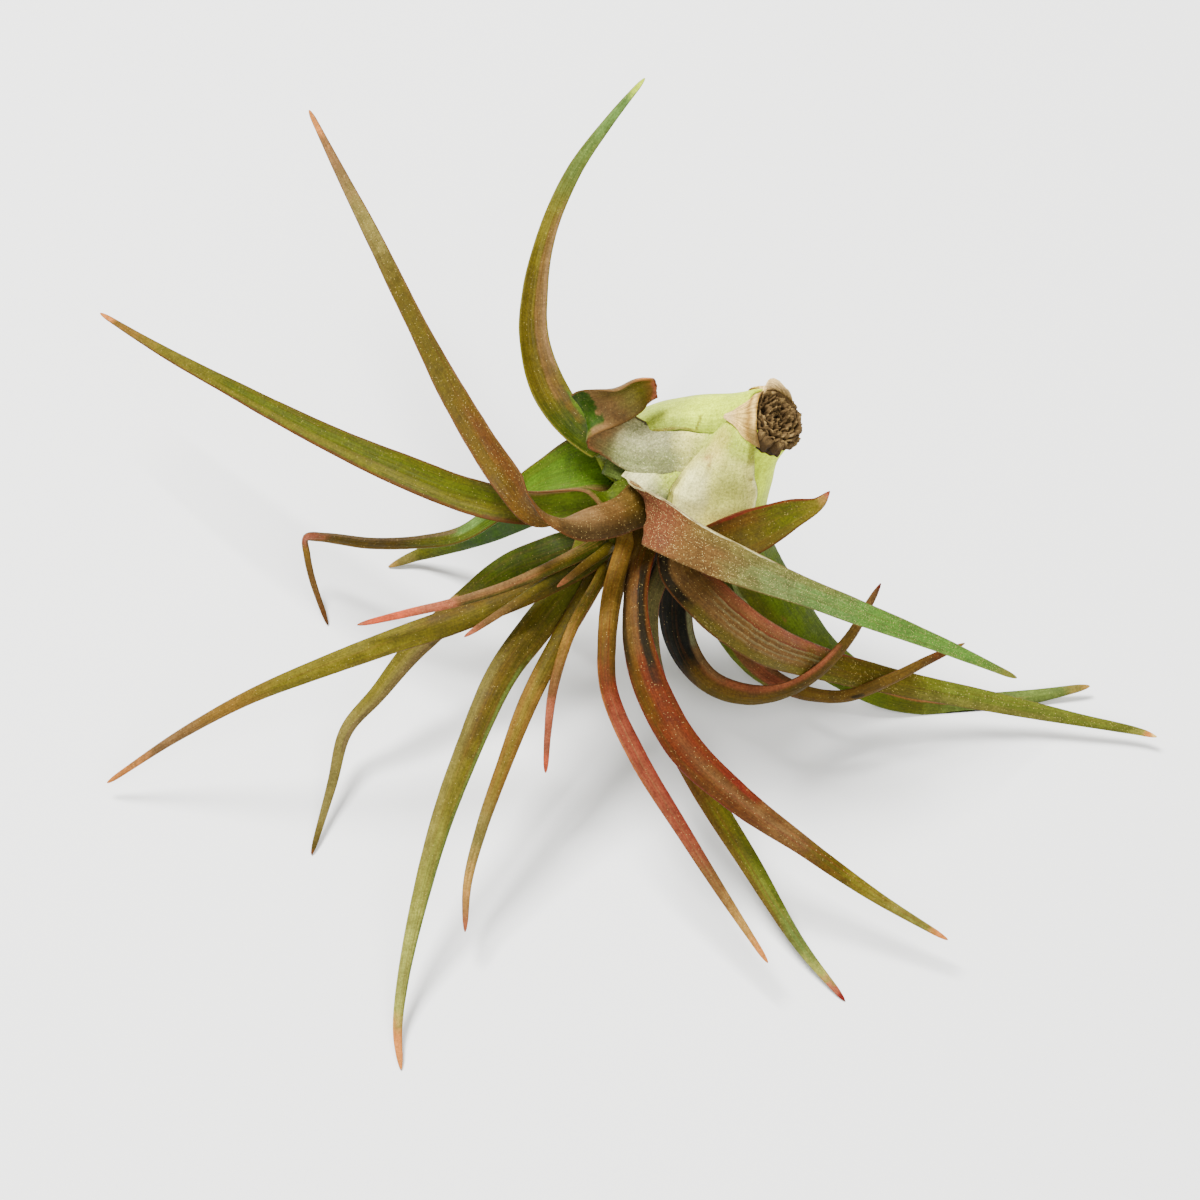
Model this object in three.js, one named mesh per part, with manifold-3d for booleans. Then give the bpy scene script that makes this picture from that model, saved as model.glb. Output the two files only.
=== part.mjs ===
import * as THREE from 'three';
import { mergeVertices } from 'three/addons/utils/BufferGeometryUtils.js';
import Module from 'manifold-3d';

// Tillandsia capitata, an air plant that lies crown down on its leaf tips
// Millimetres, +Z up, origin under the middle of the plant on the floor

// Laying out the leaves: a point is given by how far across and up it appears
// from a sighting point in front of the plant, and by its height over the floor
const sightDistance = 900;
const sightElevation = THREE.MathUtils.degToRad(55);

// Stem, from the root end to the crown
const rootEndSight = { across: 35.2, up: 36.4, height: 72 };
const crownSight = { across: 8, up: 16.2, height: 36 };
const stemProfile = [
  { along: 1, radius: 4.4 },
  { along: 7, radius: 5.2 },
  { along: 15, radius: 5.0 },
  { along: 23, radius: 4.4 },
  { along: 32, radius: 3.4 },
  { along: 42, radius: 2.4 },
  { along: 50, radius: 1.2 },
];
const stemSides = 14;

// Root stub: dry rings around the cut end of the stem
const stubProfile = [
  { radius: 0, along: 0.6 },
  { radius: 4.9, along: 0.6 },
  { radius: 5.4, along: -0.6 },
  { radius: 5.0, along: -1.9 },
  { radius: 4.3, along: -1.0 },
  { radius: 3.5, along: -2.2 },
  { radius: 2.5, along: -1.2 },
  { radius: 1.3, along: -2.0 },
  { radius: 0, along: -1.7 },
];
const stubSides = 20;
const stubWaviness = 0.35;

// Leaf blades
const midribThickness = 1.15;
const marginThickness = 0.66;
const pieceGap = 0.3;
const stationSpacing = 5.5;
const acrossPoints = 5;

// Leaves from the outside of the base to the heart
// base rows: [along the stem, angle round it in degrees, radius, width]
// blade rows: [across, up, height, width, face, curl], face and curl in degrees
// face 0 turns the inner side to the sighting point, 180 the outer side
// face null is a fold, and folds gives the angle of its crease as it appears
const leaves = [
  {
    name: 'leaf_09',
    colour: 0x8a7a3c,
    base: [[0, 26, 6.5, 8], [5, 11, 8.2, 10.5], [10, -10, 10.5, 14], [15, -28, 13, 18], [20, -38, 15.4, 17]],
    folds: { 0: -44 },
    blade: [
      [24.6, 11.8, 58, 10, null, 80],
      [31, 14, 60, 8.8, 6, 50],
      [37.9, 17.1, 60.5, 6, 5, 50],
      [43.4, 19.1, 60.5, 2.7, 0, 50],
      [46, 21.8, 60.5, 0.9, 0, 40],
    ],
  },
  {
    name: 'sheath_top',
    colour: 0xb9c487,
    base: [[0.4, 82, 6, 13], [7, 82, 8.4, 15], [14, 83, 11.8, 15], [21, 77, 14.8, 12], [26.5, 66, 17.2, 5]],
    blade: [],
  },
  {
    name: 'leaf_04',
    colour: 0x8d7a58,
    base: [[2, 26, 5.4, 12], [9, 31, 8.2, 14], [16, 41, 11.8, 12.4], [21, 43, 14.6, 11]],
    folds: { 1: -73 },
    blade: [
      [3.4, 33, 63, 10.4, 180, 70],
      [-0.3, 36.8, 66.5, 9.6, null, 90],
      [4, 39.2, 69.5, 6.2, -8, 60],
      [8, 41.4, 71, 4.4, -8, 70],
      [11.3, 42.7, 72, 2.2, -8, 60],
    ],
  },
  {
    name: 'leaf_11',
    colour: 0x3f5f1a,
    base: [[-0.2, -78, 5.7, 18], [7, -80, 7.2, 18], [14, -86, 10.3, 17], [21, -90, 14.2, 14]],
    blade: [
      [32.4, 7.6, 37, 11, 150, 60],
      [38.4, -2.4, 25, 10, 160, 50],
      [46.4, -12, 12.5, 7.6, 170, 50],
      [58, -19, 4, 6, 175, 50],
      [72, -20.8, 0.5, 4.6, 180, 50],
      [86, -19.4, 1.2, 3, 180, 50],
      [98, -17.2, 2.6, 1.2, 180, 40],
    ],
  },
  {
    name: 'leaf_06',
    colour: 0x7d7a4a,
    base: [[8, 12, 7, 12], [13, 14, 9.4, 15], [18, 13, 12, 15], [22.5, 9, 14.6, 14]],
    folds: { 0: -77 },
    blade: [
      [9.6, 18.2, 59, 12, null, 90],
      [14.4, 13.6, 61, 9.6, 10, 50],
      [26, 7.7, 58.5, 7.6, 6, 30],
      [40, 2.1, 51, 5.5, 4, 30],
      [54, -3.4, 40.5, 4.6, 4, 30],
      [68, -8.9, 28, 3.1, 4, 30],
      [83.4, -15.6, 14, 1, 4, 30],
    ],
  },
  {
    name: 'leaf_08',
    colour: 0x6c8a5c,
    base: [[9, 128, 6.4, 12], [16, 120, 9.6, 15], [24, 108, 12.8, 13]],
    blade: [
      [-8, 21, 38, 7, 200, 50],
      [-15, 17.4, 28, 6, 190, 50],
      [-22, 13.9, 18, 4.8, 185, 50],
      [-30, 11, 8.5, 3.6, 180, 50],
      [-37, 8.8, 2.6, 2.3, 180, 40],
      [-42.4, 6.6, 0.1, 0.9, 180, 40],
    ],
  },
  {
    name: 'leaf_03',
    colour: 0x6f7d2c,
    base: [[10, 54, 6.6, 12], [16, 51, 9.2, 14], [22, 48, 12, 13], [27, 46, 14, 10]],
    blade: [
      [-4, 33, 58, 7.2, 30, 80],
      [-10.3, 40.8, 60, 6.9, 20, 70],
      [-13.3, 51, 63, 6.2, 15, 70],
      [-13.2, 61, 65, 5.3, 10, 60],
      [-10.7, 73.1, 67, 3.8, 5, 60],
      [-5.5, 85.3, 69, 3.1, 5, 50],
      [1.8, 95.7, 70, 2.1, 5, 50],
      [9, 104.4, 70.5, 0.9, 5, 40],
    ],
  },
  {
    name: 'leaf_01',
    colour: 0x75752f,
    base: [[12, 25, 6.6, 12], [18, 25, 9.2, 13], [24, 24, 12.2, 12], [28.5, 22, 15, 10]],
    blade: [
      [-4, 20.6, 53, 9, -35, 150],
      [-14, 19.2, 52.5, 8.4, -25, 120],
      [-26.2, 21, 51.5, 7.4, -8, 80],
      [-40.5, 26.2, 50, 6.6, 5, 60],
      [-56.3, 33.3, 47, 5.1, 8, 60],
      [-72.1, 41.5, 43.5, 3.6, 5, 50],
      [-87, 49.5, 39, 2.3, 5, 50],
      [-100, 57.4, 34, 0.9, 5, 40],
    ],
  },
  {
    name: 'leaf_02',
    colour: 0x7a6a34,
    base: [[13, 8, 6.2, 11], [19, 8, 8.6, 12], [25, 8, 12, 11]],
    blade: [
      [5, 17.6, 57, 8, 195, 80],
      [0, 16, 59, 8, 205, 80],
      [-4.4, 15.4, 61, 8, 230, 90],
      [-9.2, 16, 62.5, 7.6, 270, 90],
      [-13.8, 18.4, 63, 7, 310, 80],
      [-17.2, 22.8, 63, 6.8, 335, 70],
      [-21.9, 29.1, 62.5, 6.1, 350, 70],
      [-29.4, 41.4, 61, 5.3, 352, 60],
      [-36.9, 55.6, 59, 3.9, 355, 60],
      [-44.4, 70.8, 57, 3.4, 355, 50],
      [-51.9, 85.5, 54, 2.2, 355, 50],
      [-58.2, 98, 51, 0.9, 355, 40],
    ],
  },
  {
    name: 'leaf_05',
    colour: 0x5d7a22,
    base: [[16, 72, 6, 12], [22, 68, 8.6, 13], [29, 62, 12, 11]],
    blade: [
      [-4, 27, 49, 9, 30, 80],
      [-12, 23.6, 42, 7.2, 35, 80],
      [-20, 17.6, 36, 5.4, 40, 80],
      [-27.8, 12.7, 31, 4.3, 45, 80],
      [-36, 11.3, 27.5, 3.6, 45, 80],
      [-46, 11.1, 22.5, 3.1, 45, 80],
      [-55.5, 12.4, 17.5, 2.4, 40, 80],
      [-58.8, 12.4, 14.5, 1.5, 20, 80],
      [-58.6, 9, 10.5, 1.4, 0, 70],
      [-57.5, 4, 5.4, 1.3, 0, 60],
      [-54.4, -5, 0.1, 0.9, 0, 40],
    ],
  },
  {
    name: 'leaf_10',
    colour: 0x8a6a3a,
    base: [[16, -44, 6, 11], [23, -47, 9, 13], [30, -50, 12.4, 12]],
    blade: [
      [16.4, 6.6, 43.5, 9.4, 160, 60],
      [22, 0, 42, 9.4, 170, 50],
      [32, -8, 34, 8.8, 175, 50],
      [44, -12.6, 22.5, 6.7, 178, 50],
      [60, -16.6, 13.5, 5.1, 180, 40],
      [79.9, -20.7, 7.5, 4, 180, 40],
      [96, -24, 4.6, 2.5, 180, 40],
      [108.1, -26.4, 3.4, 1.4, 180, 40],
      [111.4, -27.4, 3.4, 0.9, 180, 40],
    ],
  },
  {
    name: 'leaf_12',
    colour: 0x4a3a1c,
    base: [[20, -80, 5.6, 10], [27, -84, 8.6, 12], [33, -88, 11.6, 10]],
    blade: [
      [15.6, 4, 28, 7.6, 170, 80],
      [15.6, -8, 17.5, 7, 200, 80],
      [20.6, -16, 13.5, 6.4, 215, 90],
      [28.4, -19.3, 14, 5.6, 220, 90],
      [36.6, -18.6, 18, 4.6, 225, 90],
      [44.2, -14.2, 23.5, 3.5, 225, 90],
      [50.2, -7.5, 28, 2.8, 225, 90],
      [53.6, -1.4, 31, 1.9, 225, 80],
      [56.2, 3.4, 33, 0.9, 225, 60],
    ],
  },
  {
    name: 'leaf_13',
    colour: 0x4f4a24,
    base: [[12, -150, 6.2, 12], [20, -140, 9, 13], [29, -126, 11.6, 11]],
    blade: [
      [23.4, 5, 30, 8, 170, 80],
      [24.4, -4, 20.5, 7.4, 200, 80],
      [30.4, -13.4, 11.5, 6, 215, 90],
      [38.6, -18.2, 9.5, 4.4, 220, 90],
      [48.4, -19.6, 12.5, 3.6, 225, 90],
      [58, -16.2, 17.5, 3, 225, 90],
      [66, -12, 21, 2.3, 225, 80],
      [73, -8.6, 23, 0.9, 225, 60],
    ],
  },
  {
    name: 'leaf_15',
    colour: 0x8c3a2e,
    base: [[20, -20, 5.8, 10], [27, -21, 8, 11], [34, -22, 10, 9]],
    blade: [
      [8.8, 10.4, 46, 5, 200, 80],
      [7, 2, 45.5, 5, 195, 80],
      [7.4, -8, 43, 6, 190, 60],
      [10.4, -18, 39, 6.8, 185, 50],
      [16.8, -29.4, 33, 7, 182, 50],
      [27.2, -39.4, 26.5, 5.8, 180, 40],
      [40.4, -49, 19.5, 3.9, 180, 40],
      [54.5, -58.9, 13, 2.5, 180, 40],
      [69.6, -68, 8, 0.9, 180, 40],
    ],
  },
  {
    name: 'leaf_16',
    colour: 0x8a5a34,
    base: [[22, -3, 5.2, 9], [29, -3, 7, 10], [36, -2, 9, 8]],
    blade: [
      [5.4, 11, 45, 5, 190, 80],
      [2.6, 2, 44, 4.3, 185, 80],
      [1.4, -8, 42, 3.8, 180, 80],
      [1.8, -18.1, 38.5, 3.5, 180, 70],
      [7.5, -31.3, 32, 3.6, 180, 60],
      [15.9, -45.1, 24.5, 3, 180, 60],
      [24.4, -58.6, 17, 2.1, 180, 50],
      [33.6, -72.6, 9.5, 0.9, 180, 40],
    ],
  },
  {
    name: 'leaf_22',
    colour: 0x837a30,
    base: [[24, 26, 5.6, 10], [32, 23, 8, 11], [39, 18, 10.4, 9]],
    blade: [
      [0, 10.4, 42.5, 5.4, 190, 70],
      [-8, 5, 43, 5.4, 195, 60],
      [-18, 0.6, 43, 5.6, 195, 60],
      [-30, -4.2, 41.5, 5.4, 190, 60],
      [-42, -8.4, 38.5, 4.8, 185, 60],
      [-56.2, -13.7, 33.5, 3.9, 180, 50],
      [-70.5, -19.6, 26, 2.8, 180, 50],
      [-84.4, -27.2, 15.5, 1.9, 180, 50],
      [-98.6, -36.6, 3.4, 0.9, 180, 40],
    ],
  },
  {
    name: 'leaf_20',
    colour: 0x7a7028,
    base: [[26, 38, 5.2, 10], [34, 34, 7.4, 11], [42, 28, 9.4, 9]],
    blade: [
      [-4, 6, 37.5, 7, 190, 60],
      [-12.7, -5.1, 36.5, 6.8, 190, 60],
      [-19.8, -14.8, 34.5, 6.2, 190, 60],
      [-26.1, -29, 29.5, 5.3, 188, 60],
      [-31.5, -43.4, 22.5, 4.4, 185, 60],
      [-36, -59.7, 14, 3.3, 182, 50],
      [-39.4, -75.8, 6.4, 2.3, 180, 50],
      [-40.5, -86, 2.4, 1.8, 180, 50],
      [-39.8, -94, 0.1, 0.9, 180, 40],
    ],
  },
  {
    name: 'leaf_17',
    colour: 0x5e5a26,
    base: [[24, -48, 5, 9], [31, -50, 7, 10], [38, -52, 9, 8]],
    blade: [
      [12.6, 7.6, 37, 4.8, 190, 80],
      [9.6, -0.4, 33.5, 4.8, 190, 80],
      [9.8, -12, 29, 5, 185, 70],
      [13.6, -24, 24, 5, 182, 60],
      [20.6, -37.6, 17.5, 4.9, 180, 50],
      [29.9, -52.6, 11, 4.2, 180, 50],
      [39.8, -68.7, 4.2, 2.5, 180, 50],
      [49, -80.2, 0.1, 0.9, 180, 40],
    ],
  },
  {
    name: 'leaf_21',
    colour: 0x7a7a2c,
    base: [[22, 84, 5.2, 10], [30, 80, 7.6, 11], [38, 72, 9.6, 10]],
    blade: [
      [-3, 12, 34.5, 7.6, 190, 60],
      [-9, 9.6, 33.5, 7.6, 190, 60],
      [-18, 6, 31, 7.2, 190, 60],
      [-27.4, -0.8, 27, 5.6, 190, 60],
      [-36.9, -9.4, 21, 4.7, 188, 60],
      [-44.5, -18.7, 15, 3.5, 186, 60],
      [-50.8, -26.2, 10, 2.7, 184, 50],
      [-53.6, -36.8, 5, 2, 182, 50],
      [-57.7, -51, 0.1, 0.9, 180, 40],
    ],
  },
  {
    name: 'leaf_23',
    colour: 0xa0604a,
    base: [[28, 12, 4, 7], [36, 12, 6, 7], [43, 11, 8, 6]],
    blade: [
      [0, 11.6, 44.5, 3.6, 190, 70],
      [-8, 7.4, 47, 2.8, 190, 70],
      [-18, 3, 48, 2.2, 190, 70],
      [-28, -0.2, 47.5, 1.9, 185, 70],
      [-38, -2.5, 45.5, 1.6, 180, 60],
      [-48.6, -5, 42.5, 0.9, 180, 40],
    ],
  },
  {
    name: 'leaf_19',
    colour: 0x80702a,
    base: [[30, 0, 4, 7], [38, 4, 5.6, 7], [45, 8, 7, 6]],
    blade: [
      [-1, 4.4, 38.5, 4.2, 188, 70],
      [-8, -8, 36.5, 4, 186, 60],
      [-14.1, -19.8, 32, 3.8, 184, 60],
      [-19.1, -32.7, 25.5, 3, 182, 60],
      [-23.7, -45.7, 19, 2.3, 180, 60],
      [-26.5, -56.6, 13, 1.7, 180, 50],
      [-27, -66.4, 8, 0.9, 180, 40],
    ],
  },
  {
    name: 'leaf_18',
    colour: 0xa0503a,
    base: [[32, -12, 3.6, 6], [40, -8, 5, 6], [46, -2, 6.4, 5]],
    blade: [
      [0.4, 5, 41.5, 2.6, 185, 70],
      [-5.5, -5.5, 39, 2.2, 182, 70],
      [-9.2, -17, 33, 1.9, 180, 70],
      [-10.4, -26, 26, 1.4, 180, 60],
      [-10.9, -34.6, 17, 0.9, 180, 40],
    ],
  },
  {
    name: 'leaf_24',
    colour: 0x8a6a34,
    base: [[46, 14, 5, 4], [51, 8, 7, 3.6]],
    blade: [
      [-5, 7.4, 44, 2.4, 185, 70],
      [-12, 2.6, 46, 2, 182, 70],
      [-20, -2.6, 46, 1.5, 180, 60],
      [-27.2, -7.4, 44.5, 0.9, 180, 40],
    ],
  },
  {
    name: 'leaf_25',
    colour: 0xa06a44,
    base: [[47, 4, 5.4, 3.6]],
    blade: [
      [1.6, 10.4, 44, 2.2, 185, 70],
      [-3, 7, 47.5, 1.7, 182, 70],
      [-8.6, 2.6, 49.5, 0.9, 180, 40],
    ],
  },
  {
    name: 'dry_scale_left',
    colour: 0xbfa070,
    base: [[-0.4, 32, 6.4, 8.4], [1.8, 35, 8.1, 5.4], [3.8, 38, 9.5, 1.4]],
    blade: [],
    dry: true,
  },
  {
    name: 'dry_scale_top',
    colour: 0xbfa070,
    base: [[3.2, 138, 7.6, 5.5], [0.4, 140, 6.5, 7], [-1.6, 140, 6.3, 4.4]],
    blade: [],
    dry: true,
  },
];

// Colours and finish
const stemColour = 0xc9cf9a;
const stubColour = 0x5a4030;
const leafRoughness = 0.55;
const dryRoughness = 0.9;

const wasm = await Module();
wasm.setup();

// Sighting point, and the plane on which across and up are measured
const sightPoint = new THREE.Vector3(
  0,
  -sightDistance * Math.cos(sightElevation),
  sightDistance * Math.sin(sightElevation),
);
const upOnSheet = new THREE.Vector3(0, Math.sin(sightElevation), Math.cos(sightElevation));

function place(across, up, height) {
  const onSheet = new THREE.Vector3(across, 0, 0).addScaledVector(upOnSheet, up);
  const reach = (sightPoint.z - height) / (sightPoint.z - onSheet.z);
  return sightPoint.clone().lerp(onSheet, reach);
}

// Stem frame: its axis, the direction that faces the sighting point, and the third
const rootEnd = place(rootEndSight.across, rootEndSight.up, rootEndSight.height);
const crown = place(crownSight.across, crownSight.up, crownSight.height);
const stemAxis = crown.clone().sub(rootEnd).normalize();
const towardSight = sightPoint.clone().normalize();
const stemFront = towardSight.clone()
  .addScaledVector(stemAxis, -towardSight.dot(stemAxis))
  .normalize();
const stemSide = new THREE.Vector3().crossVectors(stemAxis, stemFront);

function radial(angle) {
  const turn = THREE.MathUtils.degToRad(angle);
  return stemFront.clone().multiplyScalar(Math.cos(turn)).addScaledVector(stemSide, Math.sin(turn));
}

function onStem(along, angle, radius) {
  return rootEnd.clone().addScaledVector(stemAxis, along).addScaledVector(radial(angle), radius);
}

// Midrib points of a leaf with their width directions
function midribOf(leaf) {
  const rows = [];
  for (const [along, angle, radius, width] of leaf.base) {
    const widthways = new THREE.Vector3().crossVectors(radial(angle), stemAxis);
    rows.push({ point: onStem(along, angle, radius), widthways, width, curl: width / radius });
  }
  for (const [across, up, height, width, face, curl] of leaf.blade) {
    rows.push({
      point: place(across, up, height),
      face,
      width,
      curl: THREE.MathUtils.degToRad(curl),
    });
  }
  rows.forEach((row, i) => {
    const crease = leaf.folds?.[i - leaf.base.length];
    row.slant = crease === undefined ? 0 : 1;
    if (row.slant) {
      const turn = THREE.MathUtils.degToRad(crease);
      row.widthways = new THREE.Vector3(Math.cos(turn), 0, 0)
        .addScaledVector(upOnSheet, Math.sin(turn));
    }
    if (row.widthways) {
      return;
    }
    const before = rows[Math.max(i - 1, 0)].point;
    const after = rows[Math.min(i + 1, rows.length - 1)].point;
    const along = after.clone().sub(before).normalize();
    const outOfSheet = sightPoint.clone().sub(row.point).normalize();
    const rightHand = new THREE.Vector3().crossVectors(along, outOfSheet).normalize();
    const facing = new THREE.Vector3().crossVectors(rightHand, along);
    const turn = THREE.MathUtils.degToRad(row.face);
    row.widthways = rightHand.multiplyScalar(Math.cos(turn))
      .addScaledVector(facing, -Math.sin(turn));
  });
  return rows;
}

// Sections along the leaf, closer together where it is short between points
function sectionsOf(leaf) {
  const rows = midribOf(leaf);
  const curve = new THREE.CatmullRomCurve3(rows.map((row) => row.point), false, 'centripetal');
  const last = rows.length - 1;
  const sections = [];
  for (let i = 0; i < last; i += 1) {
    const length = rows[i].point.distanceTo(rows[i + 1].point);
    const steps = Math.max(1, Math.round(length / stationSpacing));
    for (let step = 0; step < steps + (i === last - 1 ? 1 : 0); step += 1) {
      const part = step / steps;
      const t = (i + part) / last;
      const along = curve.getTangent(t);
      const slant = THREE.MathUtils.lerp(rows[i].slant, rows[i + 1].slant, part);
      const widthways = rows[i].widthways.clone().lerp(rows[i + 1].widthways, part);
      widthways.addScaledVector(along, (slant - 1) * widthways.dot(along)).normalize();
      sections.push({
        middle: curve.getPoint(t),
        along,
        widthways,
        inward: new THREE.Vector3().crossVectors(widthways, along).normalize(),
        width: THREE.MathUtils.lerp(rows[i].width, rows[i + 1].width, part),
        curl: THREE.MathUtils.lerp(rows[i].curl, rows[i + 1].curl, part),
      });
    }
  }
  return sections;
}

// Closed leaf body: a curved channel section carried along the midrib
function leafGeometry(leaf, extra = 0) {
  const sections = sectionsOf(leaf);
  const positions = [];
  for (const [index, section] of sections.entries()) {
    const ends = index === 0 || index === sections.length - 1;
    const lengthen = ends ? (index === 0 ? -extra : extra) : 0;
    const middle = section.middle.clone().addScaledVector(section.along, lengthen);
    const width = section.width + 2 * extra;
    const radius = width / section.curl;
    for (const side of [1, -1]) {
      for (let j = 0; j < acrossPoints; j += 1) {
        const offset = (2 * j) / (acrossPoints - 1) - 1;
        const angle = (offset * section.curl) / 2;
        const taper = THREE.MathUtils.lerp(midribThickness, marginThickness, Math.abs(offset));
        const half = Math.min(taper, 0.35 * section.width + 0.3) / 2 + extra;
        const outward = section.inward.clone().multiplyScalar(Math.cos(angle))
          .addScaledVector(section.widthways, -Math.sin(angle));
        const point = middle.clone()
          .addScaledVector(section.widthways, radius * Math.sin(angle))
          .addScaledVector(section.inward, radius * (1 - Math.cos(angle)))
          .addScaledVector(outward, side * half);
        positions.push(point.x, point.y, point.z);
      }
    }
  }
  const ring = 2 * acrossPoints;
  const inner = (k, j) => k * ring + j;
  const outer = (k, j) => k * ring + acrossPoints + j;
  const faces = [];
  for (let k = 0; k < sections.length - 1; k += 1) {
    for (let j = 0; j < acrossPoints - 1; j += 1) {
      faces.push(inner(k, j), inner(k, j + 1), inner(k + 1, j + 1));
      faces.push(inner(k, j), inner(k + 1, j + 1), inner(k + 1, j));
      faces.push(outer(k, j), outer(k + 1, j + 1), outer(k, j + 1));
      faces.push(outer(k, j), outer(k + 1, j), outer(k + 1, j + 1));
    }
    const edge = acrossPoints - 1;
    faces.push(inner(k, edge), outer(k, edge), outer(k + 1, edge));
    faces.push(inner(k, edge), outer(k + 1, edge), inner(k + 1, edge));
    faces.push(inner(k, 0), inner(k + 1, 0), outer(k + 1, 0));
    faces.push(inner(k, 0), outer(k + 1, 0), outer(k, 0));
  }
  const end = sections.length - 1;
  for (let j = 0; j < acrossPoints - 1; j += 1) {
    faces.push(inner(0, j), outer(0, j + 1), inner(0, j + 1));
    faces.push(inner(0, j), outer(0, j), outer(0, j + 1));
    faces.push(inner(end, j), inner(end, j + 1), outer(end, j + 1));
    faces.push(inner(end, j), outer(end, j + 1), outer(end, j));
  }
  const geometry = new THREE.BufferGeometry();
  geometry.setAttribute('position', new THREE.Float32BufferAttribute(positions, 3));
  geometry.setIndex(faces);
  return geometry;
}

// Turned body on the stem axis, with its edge waved by a small share of the radius
function turnedGeometry(profile, sides, waviness = 0, extra = 0) {
  const outline = [];
  for (const { radius, along } of profile) {
    outline.push(new THREE.Vector2(radius > 0 ? radius + extra : 0, -along));
  }
  const geometry = new THREE.LatheGeometry(outline, sides);
  geometry.deleteAttribute('normal');
  geometry.deleteAttribute('uv');
  const position = geometry.getAttribute('position');
  const point = new THREE.Vector3();
  for (let i = 0; i < position.count; i += 1) {
    point.fromBufferAttribute(position, i);
    const turn = Math.atan2(point.z, point.x);
    const radius = Math.hypot(point.x, point.z);
    const wave = 1 + (radius > 1 ? (waviness / 6) * Math.sin(3 * turn) * Math.cos(2 * turn + 1) : 0);
    point.set(point.x * wave, point.y, point.z * wave);
    const placed = rootEnd.clone()
      .addScaledVector(stemAxis, -point.y)
      .addScaledVector(stemFront, point.x)
      .addScaledVector(stemSide, point.z);
    position.setXYZ(i, placed.x, placed.y, placed.z);
  }
  return mergeVertices(geometry, 1e-4);
}

// Solids for joining and cutting
function solidOf(geometry) {
  const merged = mergeVertices(geometry, 1e-4);
  const mesh = new wasm.Mesh({
    numProp: 3,
    vertProperties: merged.getAttribute('position').array,
    triVerts: new Uint32Array(merged.index.array),
  });
  return new wasm.Manifold(mesh);
}

function geometryOf(solid) {
  const mesh = solid.getMesh();
  const geometry = new THREE.BufferGeometry();
  geometry.setAttribute('position', new THREE.BufferAttribute(mesh.vertProperties.slice(), 3));
  geometry.setIndex(new THREE.BufferAttribute(mesh.triVerts.slice(), 1));
  return geometry;
}

function largestBody(solid) {
  const bodies = solid.decompose();
  return bodies.reduce((best, body) => (body.volume() > best.volume() ? body : best));
}

function boxesMeet(a, b) {
  const boxA = a.boundingBox();
  const boxB = b.boundingBox();
  return [0, 1, 2].every((i) => boxA.min[i] < boxB.max[i] && boxB.min[i] < boxA.max[i]);
}

const plant = new THREE.Group();
plant.name = 'tillandsia_capitata';
const assembly = new THREE.Group();
plant.add(assembly);

function addPiece(name, geometry, colour, roughness) {
  const material = new THREE.MeshStandardMaterial({ color: colour, roughness, metalness: 0 });
  const mesh = new THREE.Mesh(geometry, material);
  mesh.name = name;
  assembly.add(mesh);
}

// Floor block that trims what would sink below the resting plane
const floorGeometry = new THREE.BoxGeometry(600, 600, 40).translate(0, 0, -20);
floorGeometry.deleteAttribute('normal');
floorGeometry.deleteAttribute('uv');
const floorBlock = solidOf(floorGeometry);

// Stem and stub
const stemOutline = [
  { radius: 0, along: stemProfile[0].along },
  ...stemProfile,
  { radius: 0, along: stemProfile[stemProfile.length - 1].along },
].reverse();
const stemBody = solidOf(turnedGeometry(stemOutline, stemSides));
const stubBody = solidOf(turnedGeometry(stubProfile, stubSides, stubWaviness));
addPiece('stem', geometryOf(stemBody), stemColour, leafRoughness);
addPiece('root_stub', geometryOf(stubBody), stubColour, dryRoughness);
const cutters = [
  solidOf(turnedGeometry(stemOutline, stemSides, 0, pieceGap)),
  solidOf(turnedGeometry(stubProfile, stubSides, stubWaviness, pieceGap)),
];

// Each leaf gives way to the stem and to the leaves outside it
for (const leaf of leaves) {
  let body = solidOf(leafGeometry(leaf));
  for (const cutter of cutters) {
    if (boxesMeet(body, cutter)) {
      body = body.subtract(cutter);
    }
  }
  if (body.boundingBox().min[2] < 0) {
    body = body.subtract(floorBlock);
  }
  const roughness = leaf.dry ? dryRoughness : leafRoughness;
  addPiece(leaf.name, geometryOf(largestBody(body)), leaf.colour, roughness);
  cutters.push(solidOf(leafGeometry(leaf, pieceGap)));
}

// Origin under the middle of the plant
const extent = new THREE.Box3().setFromObject(assembly);
const middle = extent.getCenter(new THREE.Vector3());
assembly.position.set(-middle.x, -middle.y, 0);

export default plant;
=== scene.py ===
"""A bare air plant, Tillandsia capitata, that lies crown down on its leaf tips.

Every leaf is one closed skin laid over the same rows as its solid: sheath rows
round the stem, then blade rows given from the sighting point in front of the plant.
Lengths in the tables are millimetres; meshes are made in metres.
"""

import logging
import math
from dataclasses import dataclass, field
from enum import Enum

import bpy
import numpy as np
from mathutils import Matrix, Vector, noise


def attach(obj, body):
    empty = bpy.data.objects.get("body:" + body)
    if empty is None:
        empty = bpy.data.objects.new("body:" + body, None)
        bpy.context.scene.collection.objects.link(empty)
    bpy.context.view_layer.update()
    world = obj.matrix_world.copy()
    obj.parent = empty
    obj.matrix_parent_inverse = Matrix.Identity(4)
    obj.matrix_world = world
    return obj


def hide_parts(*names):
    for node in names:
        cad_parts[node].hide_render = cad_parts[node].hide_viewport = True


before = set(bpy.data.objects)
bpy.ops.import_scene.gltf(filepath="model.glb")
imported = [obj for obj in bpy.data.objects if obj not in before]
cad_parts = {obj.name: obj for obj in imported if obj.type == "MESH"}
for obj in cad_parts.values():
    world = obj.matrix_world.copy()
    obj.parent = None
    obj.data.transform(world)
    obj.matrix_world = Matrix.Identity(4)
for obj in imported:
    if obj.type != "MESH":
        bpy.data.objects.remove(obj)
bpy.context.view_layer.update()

MM = 0.001
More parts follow.
